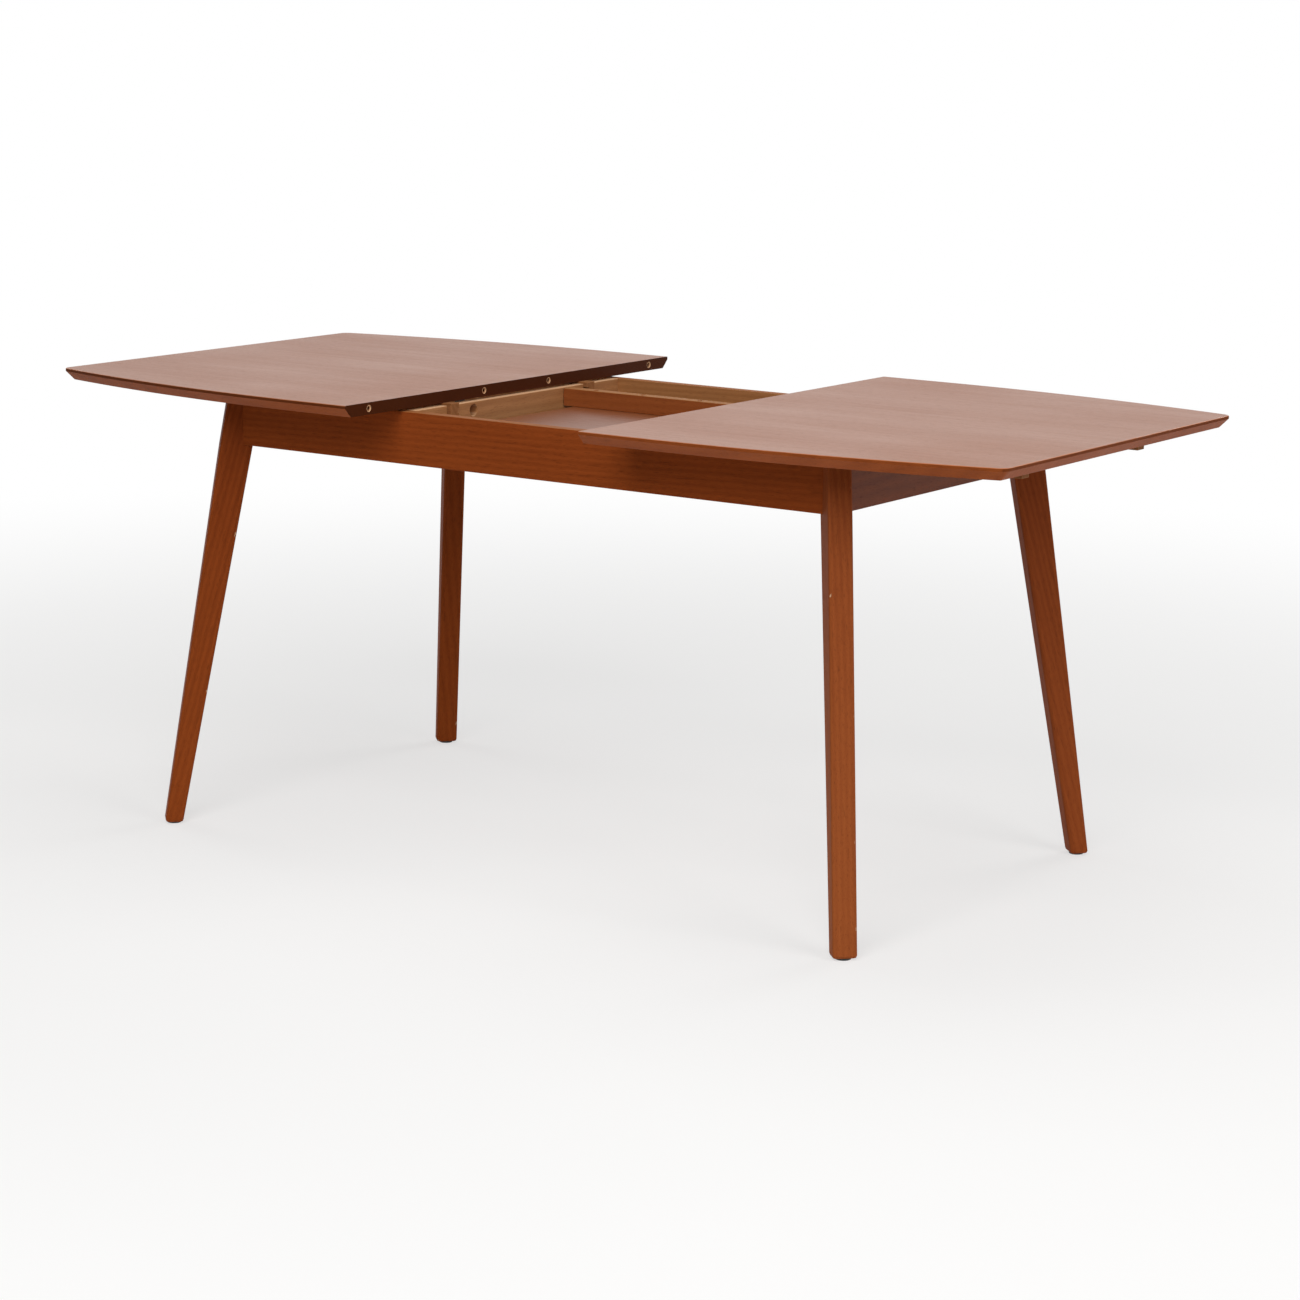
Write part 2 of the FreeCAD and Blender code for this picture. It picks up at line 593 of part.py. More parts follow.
def make_well():
    """Cross rails with their notches and pivot holes, the leaf's stop pegs and the runner guides."""
    pegs = []
    for end, sign in ENDS.items():
        low = "rail_inner" if sign > 0 else "-rail_inner - rail_thickness"
        rail = box(f"{end}_rail_blank", (low, "-apron_inner_y", "apron_bottom"),
                   ("rail_thickness", "2 * apron_inner_y", "apron_height"))
        start, through = f"{low} - overrun", "rail_thickness + 2 * overrun"
        tools = [runner_notch(f"{end}_rail", end, side, start, through) for side in SIDES]
        for side, way in SIDES.items():
            tools.append(rod(f"{end}_rail_{side}_bore", "tenon_radius + pivot_clear", through,
                             (start, f"{way} * pivot_y", "pivot_z"), X_AXIS))
        inner = "leaf_half - peg_reach" if sign > 0 else "-rail_inner - peg_seat"
        pegs.append(rod(f"{end}_leaf_peg", "peg_radius", "peg_length", (inner, "peg_y", "peg_z"), X_AXIS))
        tools.append(rod(f"{end}_peg_bore", "peg_radius + fit_clear", "peg_length",
                         (inner, "peg_y", "peg_z"), X_AXIS))
        node(f"{end}_cross_rail", cut(f"{end}_rail", eased(rail), tools))

        for side, way in SIDES.items():
            make_guide(end, side, sign, way)
    group("leaf_stop_pegs", pegs)


def make_guide(end, side, sign, way):
    """A strip along the inner side of a runner, with a tongue in the runner's groove."""
    name = f"{end}_{side}_guide"
    face = f"{runner_middle(end, side)} - {way} * (runner_width / 2 + runner_clear)"
    low_x = "rail_inner + rail_thickness" if sign > 0 else "-apron_inner_x"
    strip_low = f"{face} - guide_width" if way > 0 else face
    tongue_low = face if way > 0 else f"{face} - groove_depth"
    strip = box(f"{name}_strip", (low_x, strip_low, "apron_top - guide_height"),
                ("guide_length", "guide_width", "guide_height"))
    tongue = box(f"{name}_tongue", (low_x, tongue_low, "tongue_low"),
                 ("guide_length", "groove_depth", "tongue_height"))
    node(name, fuse(f"{name}_piece", [eased(strip), tongue]))


def make_runner(end, side):
    """One runner with its groove, its screws and its stop peg, at the pulled-out place."""
    sign, way = ENDS[end], SIDES[side]
    name = f"{end}_{side}_runner"
    middle = runner_middle(end, side)
    low_x = "runner_inner" if sign > 0 else "-runner_outer"
    blank = box(f"{name}_blank", (low_x, f"{middle} - runner_width / 2", "runner_bottom"),
                ("runner_length", "runner_width", "runner_height"))
    groove_low = f"{middle} - runner_width / 2 - overrun" if way > 0 \
        else f"{middle} + runner_width / 2 - groove_depth"
    tools = [box(f"{name}_groove", (f"{low_x} - overrun", groove_low, "groove_low"),
                 ("runner_length + 2 * overrun", "groove_depth + overrun", "groove_height"))]
    stop = ("stop_seat + stop_drop", (f"{sign} * stop_x", middle, "runner_bottom - stop_drop"))
    peg = rod(f"{name}_stop", "stop_radius", *stop)
    tools.append(rod(f"{name}_stop_bore", "stop_radius + fit_clear", *stop))
    screws, pilots = [], []
    for index, share in enumerate(RUNNER_SCREW_SHARES):
        x = f"{low_x} + {share} * runner_length"
        seat = "runner_bottom + screw_recess"
        shank_length = "runner_height - screw_recess + screw_bite"
        tag = f"{name}_screw_{index}"
        screws.append(fuse(tag, [
            rod(f"{tag}_head", "screw_head_radius", "screw_head_height",
                (x, middle, f"{seat} - screw_head_height")),
            rod(f"{tag}_shank", "screw_radius", shank_length, (x, middle, seat))]))
        tools.append(rod(f"{tag}_recess", "screw_head_radius + fit_clear", "screw_recess + overrun",
                         (x, middle, "runner_bottom - overrun")))
        pilots.append(rod(f"{tag}_bore", "screw_radius + fit_clear", f"{shank_length} + fit_clear",
                          (x, middle, seat)))
    node(name, cut(f"{name}_piece", eased(blank), tools + pilots))
    return peg, screws, pilots


def make_tops():
    """Both halves with their runners; pins stand out of the right seam, the left seam has holes."""
    for end, sign in ENDS.items():
        body = put(half_top_body(f"{end}_top"), f"{sign} * top_pull", z="top_under",
                   turn=Rotation(Vector(0, 0, 1), 90 - 90 * sign))
        pegs, screws, tools = [], [], []
        for side in SIDES:
            peg, side_screws, pilots = make_runner(end, side)
            pegs.append(peg)
            screws += side_screws
            tools += pilots
        pins = []
        for side, way in SIDES.items():
            for place in ("inner", "outer"):
                tag = f"{end}_seam_{side}_{place}"
                y = f"{way} * seam_pin_{place}"
                if sign > 0:
                    start = ("top_pull - seam_pin_reach", y, "pin_middle_z")
                    length = "seam_pin_reach + seam_pin_seat"
                    pins.append(rod(f"{tag}_pin", "seam_pin_radius", length, start, X_AXIS))
                    tools.append(rod(f"{tag}_bore", "seam_pin_radius + fit_clear", length, start, X_AXIS))
                else:
                    tools.append(rod(f"{tag}_hole", "seam_hole_radius", "seam_hole_depth + overrun",
                                     ("-top_pull - seam_hole_depth", y, "pin_middle_z"), X_AXIS))
        node(f"{end}_top", cut(f"{end}_top_piece", body, tools))
        group(f"{end}_runner_screws", screws)
        group(f"{end}_runner_stops", pegs)
        if pins:
            group("right_top_pins", pins)


def leaf_profile(level):
    """Section of one half of the stored leaf: eased at the fold, bevelled behind its outer edge."""
    return [("fold_end_ease", f"{level}_face"), ("fold_end", f"{level}_face_ease"),
            ("fold_end", f"{level}_back"), ("leaf_front_bevel", f"{level}_back"),
            ("leaf_front", f"{level}_back_bevel"), ("leaf_front", f"{level}_face")]


def plate_profile(level):
    return [("fold_end_ease", f"{level}_face"), ("fold_end", f"{level}_face_ease"),
            ("fold_end", f"{level}_plate"), ("hinge_plate_end", f"{level}_plate"),
            ("hinge_plate_end", f"{level}_face")]


def make_leaf():
    """The leaf's two halves, folded face to face, with their hinges, pins and batten."""
    batten_screws, batten_bores, batten_recesses = [], [], []
    for index, share in enumerate(BATTEN_SCREW_SHARES):
        x, tag = f"{share} * leaf_half", f"batten_screw_{index}"
        foot = "upper_back - screw_bite"
        shank = "batten_height - screw_recess + screw_bite"
        seat = "batten_top - screw_recess"
        batten_screws.append(fuse(tag, [
            rod(f"{tag}_shank", "screw_radius", shank, (x, "pivot_y", foot)),
            rod(f"{tag}_head", "screw_head_radius", "screw_head_height", (x, "pivot_y", seat))]))
        batten_bores.append(rod(f"{tag}_bore", "screw_radius + fit_clear", f"{shank} + fit_clear",
                                (x, "pivot_y", f"{foot} - fit_clear")))
        batten_recesses.append(rod(f"{tag}_recess", "screw_head_radius + fit_clear",
                                   "screw_recess + overrun", (x, "pivot_y", seat)))
    group("batten_screws", batten_screws)
    bar = box("batten_bar", ("-batten_half", "pivot_y - batten_thickness / 2", "upper_back"),
              ("2 * batten_half", "batten_thickness", "batten_height"))
    starts = {"left": "-batten_half - tenon_length", "right": "batten_half"}
    tenons = [rod(f"{end}_tenon", "tenon_radius", "tenon_length", (start, "pivot_y", "pivot_z"), X_AXIS)
              for end, start in starts.items()]
    node("leaf_batten", cut("batten_piece", fuse("batten_turned", [eased(bar), *tenons]),
                            batten_bores + batten_recesses))

    for level, inwards in (("upper", 1), ("lower", -1)):
        body = polygon_body(f"leaf_{level}", "YZ_Plane", leaf_profile(level), "leaf_length")
        put(body, "-leaf_half")
        tools = list(batten_bores) if level == "upper" else []
        plates, hinge_pins, pins = [], [], []
        for end, sign in ENDS.items():
            tag = f"{level}_{end}_hinge"
            left = f"{sign} * hinge_x - hinge_plate_width / 2"
            face_low = f"{level}_face - overrun" if inwards > 0 else f"{level}_plate"
            tools.append(box(f"{tag}_pocket", (left, "hinge_plate_end", face_low),
                             ("hinge_plate_width", "hinge_plate_depth + overrun",
                              "hinge_plate_thickness + overrun")))
            plate = polygon_body(f"{tag}_plate", "YZ_Plane", plate_profile(level), "hinge_plate_width")
            put(plate, left)
            slot_low = f"{level}_face - overrun" if inwards > 0 else f"{level}_pin_z - hinge_slot"
            slot_left = f"{sign} * hinge_x - hinge_link_width / 2 - hinge_clear"
            slot = box(f"{tag}_slot", (slot_left, "hinge_pin_y - hinge_slot", slot_low),
                       ("hinge_link_width + 2 * hinge_clear", "hinge_plate_depth",
                        "hinge_pin_depth + hinge_slot + overrun"))
            axis = (left, "hinge_pin_y", f"{level}_pin_z")
            bore = rod(f"{tag}_bore", "hinge_pin_radius + fit_clear", "hinge_plate_width", axis, X_AXIS)
            hinge_pins.append(rod(f"{tag}_pin", "hinge_pin_radius", "hinge_plate_width", axis, X_AXIS))
            plates.append(cut(f"{tag}_body", plate, [slot, bore]))
        for place in ("inner", "outer"):
            y = f"fold_y - seam_pin_{place}"
            start = ("-leaf_half - seam_pin_reach", y, f"{level}_middle")
            length = "seam_pin_reach + seam_pin_seat"
            pins.append(rod(f"{level}_{place}_pin", "seam_pin_radius", length, start, X_AXIS))
            tools.append(rod(f"{level}_{place}_pin_bore", "seam_pin_radius + fit_clear", length,
                             start, X_AXIS))
            tools.append(rod(f"{level}_{place}_hole", "seam_hole_radius", "seam_hole_depth + overrun",
                             ("leaf_half - seam_hole_depth", y, f"{level}_middle"), X_AXIS))
        node(f"leaf_{level}_half", cut(f"leaf_{level}_piece", body, tools))
        group(f"leaf_{level}_pins", pins)
        group(f"hinge_{level}_plates", plates)
        group(f"hinge_{level}_pins", hinge_pins)
    make_links()


def make_links():
    """A link of each hinge: it joins the pin in the upper half to the pin in the lower half."""
    links = []
    for end, sign in ENDS.items():
        tag = f"{end}_link"
        left = f"{sign} * hinge_x - hinge_link_width / 2"
        ends, bores = [], []
        for level in ("upper", "lower"):
            axis = (left, "hinge_pin_y", f"{level}_pin_z")
            ends.append(rod(f"{tag}_{level}_end", "hinge_link_radius", "hinge_link_width", axis, X_AXIS))
            bores.append(rod(f"{tag}_{level}_bore", "hinge_pin_radius + fit_clear", "hinge_link_width",
                             axis, X_AXIS))
        middle = box(f"{tag}_bar", (left, "hinge_pin_y - hinge_link_radius", "lower_pin_z"),
                     ("hinge_link_width", "2 * hinge_link_radius", "upper_pin_z - lower_pin_z"))
        links.append(cut(tag, fuse(f"{tag}_blank", [middle, *ends]), bores))
    group("hinge_links", links)


def check_and_write():
    """Every object is sound and every sub-part a set of valid solids before anything is written."""
    doc.recompute()
    for obj in doc.Objects:
        if {"Invalid", "Error"} & set(obj.State):
            raise RuntimeError(f"{obj.Name} failed: {obj.State}")
    for name, obj in nodes.items():
        shape = obj.Shape
        if shape.isNull() or not shape.isValid() or not shape.Solids:
            raise RuntimeError(f"{name} has no valid shape")
    os.makedirs("parts", exist_ok=True)
    for name, obj in nodes.items():
        obj.Shape.exportStep(f"parts/{name}.step")
        print(f"{name}: {len(obj.Shape.Solids)} solid(s), {obj.Shape.Volume / 1000:.1f} cm3")


write_sheets()
make_aprons()
make_corners()
make_well()
make_tops()
make_leaf()
check_and_write()
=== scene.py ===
# %% [markdown]
# A butterfly leaf table, dressed for its portrait.
# The solids come from a CAD model and are already at their real size and place, so this lesson never
# moves or reshapes them. It gives every piece its finish, models the small hardware by hand, and
# sets up a plain studio round the table.

import json
import math

import bmesh
import bpy
from mathutils import Matrix, Vector


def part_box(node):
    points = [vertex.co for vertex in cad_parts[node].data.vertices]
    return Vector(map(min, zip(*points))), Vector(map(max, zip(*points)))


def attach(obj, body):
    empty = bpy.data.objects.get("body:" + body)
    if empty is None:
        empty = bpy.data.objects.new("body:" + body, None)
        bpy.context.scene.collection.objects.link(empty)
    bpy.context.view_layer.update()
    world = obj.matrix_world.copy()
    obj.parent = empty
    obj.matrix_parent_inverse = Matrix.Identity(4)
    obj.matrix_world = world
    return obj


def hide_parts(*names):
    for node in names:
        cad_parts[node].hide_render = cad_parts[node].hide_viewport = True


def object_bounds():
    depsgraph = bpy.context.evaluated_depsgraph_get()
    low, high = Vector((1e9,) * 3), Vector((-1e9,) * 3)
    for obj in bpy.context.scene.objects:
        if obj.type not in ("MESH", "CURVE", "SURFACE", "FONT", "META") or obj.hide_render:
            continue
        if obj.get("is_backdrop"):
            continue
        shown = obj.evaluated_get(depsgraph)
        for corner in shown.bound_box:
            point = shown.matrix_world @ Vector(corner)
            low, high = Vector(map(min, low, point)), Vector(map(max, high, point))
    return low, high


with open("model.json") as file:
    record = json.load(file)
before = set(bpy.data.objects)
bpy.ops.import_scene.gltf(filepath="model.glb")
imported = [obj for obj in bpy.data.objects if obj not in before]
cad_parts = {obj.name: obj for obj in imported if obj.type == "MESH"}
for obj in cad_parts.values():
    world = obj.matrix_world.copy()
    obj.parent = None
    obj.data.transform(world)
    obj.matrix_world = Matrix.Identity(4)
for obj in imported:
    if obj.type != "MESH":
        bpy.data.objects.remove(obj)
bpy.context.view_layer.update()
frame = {"nodes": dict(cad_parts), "record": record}
nodes = frame["nodes"]
slots = {row["node"]: row["material_slot"] for row in frame["record"]["subparts"]}
body_of = {name: body for body, names in frame["record"]["behaviour"]["bodies"].items()
           for name in names}

# %% [markdown]
# The camera.
# The photograph was taken from the front right corner, a little above the table. Its straight edges and
# feet fix where the camera stood: the place is in metres from the floor under the table's middle, and
# the three angles turn it about the vertical, down towards the table, and about its own line of sight.
# The lens is long, as is usual for furniture, so that the far legs don't look too small.

# %% Camera
CAMERA_PLACE = (3.0307, -4.4101, 1.4161)
CAMERA_YAW, CAMERA_PITCH, CAMERA_ROLL = (math.radians(turn) for turn in (34.024, 11.577, 0.882))
CAMERA_LENS, CAMERA_SENSOR = 91.55, 36      # millimetres
RIGHT_ANGLE = math.pi / 2

bpy.ops.object.select_all(action="DESELECT")
bpy.ops.object.camera_add(location=CAMERA_PLACE)
camera = bpy.context.object
looking = (Matrix.Rotation(CAMERA_YAW, 3, "Z") @ Matrix.Rotation(RIGHT_ANGLE - CAMERA_PITCH, 3, "X")
           @ Matrix.Rotation(CAMERA_ROLL, 3, "Z"))
camera.rotation_euler = looking.to_euler()
camera.data.lens = CAMERA_LENS
camera.data.sensor_width = CAMERA_SENSOR
bpy.context.scene.camera = camera
print("camera", tuple(round(value, 3) for value in camera.location), "lens", camera.data.lens)

# %% [markdown]
# Shader maths in plain Python.
# A finish is a graph of nodes, and a graph typed node by node is hard to read. Here one small class
# wraps an output socket, so that `1 - mask` or `grain * 0.3` adds the Math nodes by itself.

# %% Wire
class Wire:
    """The output of a shader node, usable in a sum."""

    def __init__(self, finish, socket):
        self.finish, self.socket = finish, socket

    def maths(self, operation, *values):
        return self.finish.add("ShaderNodeMath", {"operation": operation}, dict(enumerate(values)))

    def __add__(self, other):
        return self.maths("ADD", self, other)

    def __radd__(self, other):
        return self.maths("ADD", other, self)

    def __sub__(self, other):
        return self.maths("SUBTRACT", self, other)

    def __rsub__(self, other):
        return self.maths("SUBTRACT", other, self)

    def __mul__(self, other):
        return self.maths("MULTIPLY", self, other)

    def __rmul__(self, other):
        return self.maths("MULTIPLY", other, self)

    def __abs__(self):
        return self.maths("ABSOLUTE", self)

    def larger(self, other):
        return self.maths("MAXIMUM", self, other)

    def smaller(self, other):
        return self.maths("MINIMUM", self, other)

    def step(self, low, high):
        """A smooth step from 0 at low to 1 at high."""
        settings = {"interpolation_type": "SMOOTHSTEP", "clamp": True}
        return self.finish.add("ShaderNodeMapRange", settings, {0: self, 1: low, 2: high})


print("wires ready")

# %% [markdown]
# A finish.
# The second class holds the node tree while it grows. One method adds any node: its type, its settings,
# and then the values or links of its sockets. The others are short names for the nodes that come up
# most, so that a finish further down reads like a recipe.

# %% Finish
class Finish:
    """The node tree of a material or of the world, as it is built."""

    def __init__(self, tree):
        self.tree = tree
        self.tree.nodes.clear()

    def add(self, kind, settings=None, values=None, out=0):
        made = self.tree.nodes.new(kind)
        for name, setting in (settings or {}).items():
            setattr(made, name, setting)
        for key, value in (values or {}).items():
            if isinstance(value, Wire):
                self.tree.links.new(value.socket, made.inputs[key])
            else:
                made.inputs[key].default_value = value
        return Wire(self, made.outputs[out]) if made.outputs else None

    def mix(self, amount, low, high):
        """Blend two colours."""
        low, high = (colour if isinstance(colour, Wire) else (*colour, 1) for colour in (low, high))
        return self.add("ShaderNodeMix", {"data_type": "RGBA"}, {0: amount, 6: low, 7: high}, 2)

    def noise(self, place, scale, detail=2, roughness=0.5):
        return self.add("ShaderNodeTexNoise", None, {"Vector": place, "Scale": scale, "Detail": detail,
                                                     "Roughness": roughness})

    def vector(self, operation, first, second, out="Vector"):
        return self.add("ShaderNodeVectorMath", {"operation": operation}, {0: first, 1: second}, out)

    def parts(self, vector):
        """The three numbers of a vector."""
        split = self.add("ShaderNodeSeparateXYZ", None, {0: vector})
        return [Wire(self, socket) for socket in split.socket.node.outputs]

    def place(self):
        return self.add("ShaderNodeTexCoord", None, None, "Object")

    def normal(self):
        return self.add("ShaderNodeTexCoord", None, None, "Normal")

    def bump(self, height, strength, distance):
        return self.add("ShaderNodeBump", None, {"Strength": strength, "Distance": distance,
                                                 "Height": height})

    def principled(self, values):
        return self.add("ShaderNodeBsdfPrincipled", None, values)

    def close(self, shader, kind="ShaderNodeOutputMaterial"):
        self.add(kind, None, {"Surface": shader})


def new_finish(name):
    material = bpy.data.materials.new(name)
    material.use_nodes = True
    return material, Finish(material.node_tree)


print("finishes ready")

# %% [markdown]
# The floor.
# The table stands on a plain pale floor. A wall behind it would stand in the way of other views, so the
# floor itself turns into the background: near the table it is a matt floor that keeps the shadow, and
# further out it fades to plain white. That white is only for what the camera and reflections see, which
# Light Path tells, so it adds no light to the table.

# %% Floor
FLOOR_RADIUS, FLOOR_SIDES = 40.0, 64
FLOOR_FADE = (1.2, 4.0)     # metres from the middle, where the floor turns into background
FLOOR_PALE, FLOOR_DIM = (0.88, 0.87, 0.85), (0.83, 0.82, 0.80)
FLOOR_CLOUDS = 1.5      # how fine the pale and dim patches are
FLOOR_ROUGHNESS = 0.9
FLOOR_GLOW = 0.6        # how much of the background's white lies on the floor near the table
WHITE = (1.0, 1.0, 1.0, 1.0)


def seen_directly(finish):
    """1 for what the camera, a reflection or a see-through surface looks at, 0 for soft light."""
    rays = [finish.add("ShaderNodeLightPath", None, None, f"Is {kind} Ray")
            for kind in ("Camera", "Glossy", "Transmission")]
    return rays[0].larger(rays[1]).larger(rays[2])


bpy.ops.object.select_all(action="DESELECT")
bpy.ops.mesh.primitive_circle_add(vertices=FLOOR_SIDES, radius=FLOOR_RADIUS, fill_type="NGON")
floor = bpy.context.object
floor.name = "studio_floor"
floor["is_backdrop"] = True

floor_material, paint = new_finish("studio_floor")
spot = paint.place()
seen = seen_directly(paint)
matt = paint.principled({"Base Color": paint.mix(paint.noise(spot, FLOOR_CLOUDS), FLOOR_PALE, FLOOR_DIM),
                         "Roughness": FLOOR_ROUGHNESS, "Specular IOR Level": 0.0})
glow = paint.add("ShaderNodeEmission", None, {"Color": WHITE, "Strength": 1.0})
from_middle = paint.add("ShaderNodeVectorMath", {"operation": "LENGTH"}, {0: spot}, "Value")
fade = (from_middle.step(*FLOOR_FADE) * (1 - FLOOR_GLOW) + FLOOR_GLOW) * seen
paint.close(paint.add("ShaderNodeMixShader", None, {0: fade, 1: matt, 2: glow}))
floor.data.materials.append(floor_material)
print("floor radius", FLOOR_RADIUS)

# %% [markdown]
# The room.
# The world is two things at once in the same way: plain white where the camera or a reflection looks
# past the floor, and only a weak light from all sides for the table itself, so that the lamps shape it.

# %% Room
AMBIENT = 0.04      # light of the room

world = bpy.data.worlds.new("studio")
bpy.context.scene.world = world
world.use_nodes = True
sky = Finish(world.node_tree)
room = sky.add("ShaderNodeBackground", None, {"Color": WHITE, "Strength": AMBIENT})
backdrop = sky.add("ShaderNodeBackground", None, {"Color": WHITE, "Strength": 1.0})
sky.close(sky.add("ShaderNodeMixShader", None, {0: seen_directly(sky), 1: room, 2: backdrop}),
          "ShaderNodeOutputWorld")
print("ambient", AMBIENT)

# %% [markdown]
# The lamps.
# One big soft lamp stands high in front, to the right. It lights the open middle of the front apron and
# leaves the rest of it in the shade of the overhanging top, as in the photograph. A second one at the
# right end reaches the legs under the top, and a third hangs over the table. Two weak ones light the
# sides that the photograph doesn't show, from places that the top doesn't mirror towards the camera.
# The pale floor throws all this light back up, which is why the legs get brighter towards their feet.

# %% Lamps
LAMPS = {     # place and size in metres, power in watts
    "front_softbox": ((1.3, -3.35, 3.3), 3.0, 130),
    "right_softbox": ((4.0, -0.8, 2.2), 2.2, 62),
    "top_softbox": ((-0.2, 0.5, 3.9), 2.8, 42),
    "back_softbox": ((1.2, 4.4, 2.6), 2.0, 42),
    "left_softbox": ((-4.4, 0.6, 2.2), 2.0, 30),
}
AIM = Vector((0, 0, 0.5))

for name, (place, size, power) in LAMPS.items():
    bpy.ops.object.light_add(type="AREA", location=place)
    lamp = bpy.context.object
    lamp.name = name
    lamp.rotation_euler = (AIM - Vector(place)).to_track_quat("-Z", "Y").to_euler()
    lamp.data.size = size
    lamp.data.energy = power
    print(name, place, power)

bpy.context.scene.view_settings.view_transform = "Standard"

# %% [markdown]
# Grain.
# Every board on this table is the same timber: growth rings and fibres that run along the board, short
# dark pores, and clouds where the stain took more or less. Noise that is stretched along the board
# gives the fibres and pores, and rings round a line outside the board give the figure. The direction is
# turned to each board's own length, and a number for each board slides the pattern, so that no two are
# alike.

# %% Grain
X_WAY, Y_WAY, Z_WAY = Vector((1, 0, 0)), Vector((0, 1, 0)), Vector((0, 0, 1))
BOARD_TILT = math.radians(1.2)       # boards aren't sawn quite along the trunk
BOARD_STEP = Vector((0.37, 0.083, 0.029))      # how far the pattern slides from board to board
STRETCHED = {     # how fine the noise is along and across the board, its detail and its roughness
    "warp": (1.1, 9.0, 1, 0.5), "fibres": (9, 520, 3, 0.6), "streaks": (3.5, 110, 2, 0.5),
    "pores": (75, 1700, 1, 0.5), "clouds": (2.2, 7.5, 2, 0.55), "flecks": (32, 330, 1, 0.5),
}
SPARSE = {"pores": (0.60, 0.72), "flecks": (0.66, 0.74)}      # only the peaks of this noise show
HEART_ASIDE, HEART_BELOW = 0.06, 0.14      # the line that the rings run round, in metres
RING_WANDER = 0.03
RINGS = {"Scale": 34.0, "Distortion": 0.8, "Detail": 1.0}


def board_place(finish, along, board):
    """Object coordinates turned so that X runs with the grain."""
    turn = Matrix.Rotation(BOARD_TILT, 3, "Y") @ along.rotation_difference(X_WAY).to_matrix()
    return finish.add("ShaderNodeMapping", None, {"Vector": finish.place(), "Rotation": turn.to_euler(),
                                                  "Location": BOARD_STEP * board})


def grain(finish, along, board):
    """Rings, fibres, streaks, pores, clouds and flecks of a board, each from 0 to 1."""
    place = board_place(finish, along, board)
    figure = {}
    for name, (lengthwise, crosswise, detail, roughness) in STRETCHED.items():
        scaled = finish.vector("MULTIPLY", place, (lengthwise, crosswise, crosswise))
        figure[name] = finish.noise(scaled, 1.0, detail, roughness)
    for name, limits in SPARSE.items():
        figure[name] = figure[name].step(*limits)
    length, across, through = finish.parts(place)
    bent = finish.add("ShaderNodeCombineXYZ", None, {
        0: length, 1: across + figure["warp"] * RING_WANDER + HEART_ASIDE, 2: through + HEART_BELOW})
    figure["rings"] = finish.add("ShaderNodeTexWave", {"wave_type": "RINGS", "rings_direction": "X"},
                                 {"Vector": bent, **RINGS}, "Fac")
    return figure


print("grain:", ", ".join(STRETCHED), "and rings")

# %% [markdown]
# Where a finish changes.
# A stain is thin on an eased edge, the inside of an apron is bare, and a sawn end drinks stain and goes
# dark. Painted shade on some edges and painted light on upper faces are placed the same way. All of
# these follow the way a surface faces, so they are masks made from the normal: 1 on the faces that look
# a certain way, or 1 on the rounded edges between the flats of a square piece. Each mask has two
# limits, and steps softly from 0 at the first to 1 at the second.

# %% Masks from the normal
FLAT, FLAT_AND_EDGE = (0.85, 0.95), (0.5, 0.68)
UPRIGHT, ABOVE_BEVEL = (0.5, 0.75), (-0.4, -0.2)
EASED = (0.06, 0.22)
ARRIS_SIDE, ARRIS_FACE = (0.45, 0.65), (0.85, 0.97)
LEVEL, POLISHED = (0.9, 0.97), (0.65, 0.9)
RUBBED, RUBBED_SCALE, RUBBED_AMOUNT = (0.42, 0.68), 2.3, 0.15


def facing(finish, way, limits=FLAT):
    """1 where the surface faces a direction; lower limits take in the edges round that face."""
    return finish.vector("DOT_PRODUCT", finish.normal(), way, "Value").step(*limits)


def upwards(finish):
    """1 on the upper faces, 0 on upright ones, -1 underneath."""
    return finish.parts(finish.normal())[2]


def upright_edge(finish, way):
    """1 on an edge face that looks a certain way, with its round, but not on a bevel under it."""
    return facing(finish, way, UPRIGHT) * upwards(finish).step(*ABOVE_BEVEL)


def eased_edges(finish, plan_turn=0.0):
    """1 on the eased edges of a square piece, 0 on its flats; plan_turn squares up a turned piece."""
    square = finish.add("ShaderNodeVectorRotate", {"rotation_type": "Z_AXIS"},
                        {"Vector": finish.normal(), "Angle": plan_turn})
    sides = [abs(part) for part in finish.parts(square)]
    return (1 - sides[0].larger(sides[1]).larger(sides[2])).step(*EASED)


def upper_arris(finish):
    """1 on the round between a top's face and its upright edge."""
    up = upwards(finish)
    return up.step(*ARRIS_SIDE) * (1 - up.step(*ARRIS_FACE))


def level_faces(finish):
    """1 on the level faces."""
    return abs(upwards(finish)).step(*LEVEL)


def polished_faces(finish):
    """1 on the level faces and just over their edge, less where years of use have rubbed them dull."""
    rubbed = finish.noise(finish.place(), RUBBED_SCALE, 1).step(*RUBBED)
    return abs(upwards(finish)).step(*POLISHED) * (1 - rubbed * RUBBED_AMOUNT)


print("masks ready")

# %% [markdown]
# Raw wood.
# The rails of the well, the guides, blocks and pegs are sanded and left bare: a tan wood, a bit darker
# in the rings, and paler on edges that have been knocked; their upper faces get painted light, the same
# pale colour. Shade, height and roughness are sums of the grain's parts, each with a weight, so they
# are kept as small recipes with a base value.

# %% Raw wood
RAW_LIGHT, RAW_DARK, RAW_PORE = (0.41, 0.183, 0.068), (0.26, 0.106, 0.035), (0.14, 0.05, 0.016)
# Pale raw wood: knocked edges and bare hole walls, and the painted light on upper faces.
RAW_EDGE = (0.70, 0.43, 0.24)
RAW_SHADE = {"base": -0.15, "rings": 0.3, "fibres": 0.5, "streaks": 0.5}
RAW_HEIGHT = {"base": 0.0, "fibres": 0.6, "pores": -0.5}
RAW_ROUGHNESS = {"base": 0.6, "fibres": 0.15}
RAW_PORES, RAW_PAINTED_TOP_LIGHT, RAW_KNOCKS = 0.5, 0.8, 0.8      # how strongly pores, painted light on upper faces, and knocked edges show
RAW_SHEEN = 0.25
RAW_BUMP = (0.25, 0.0004)       # strength, and depth in metres


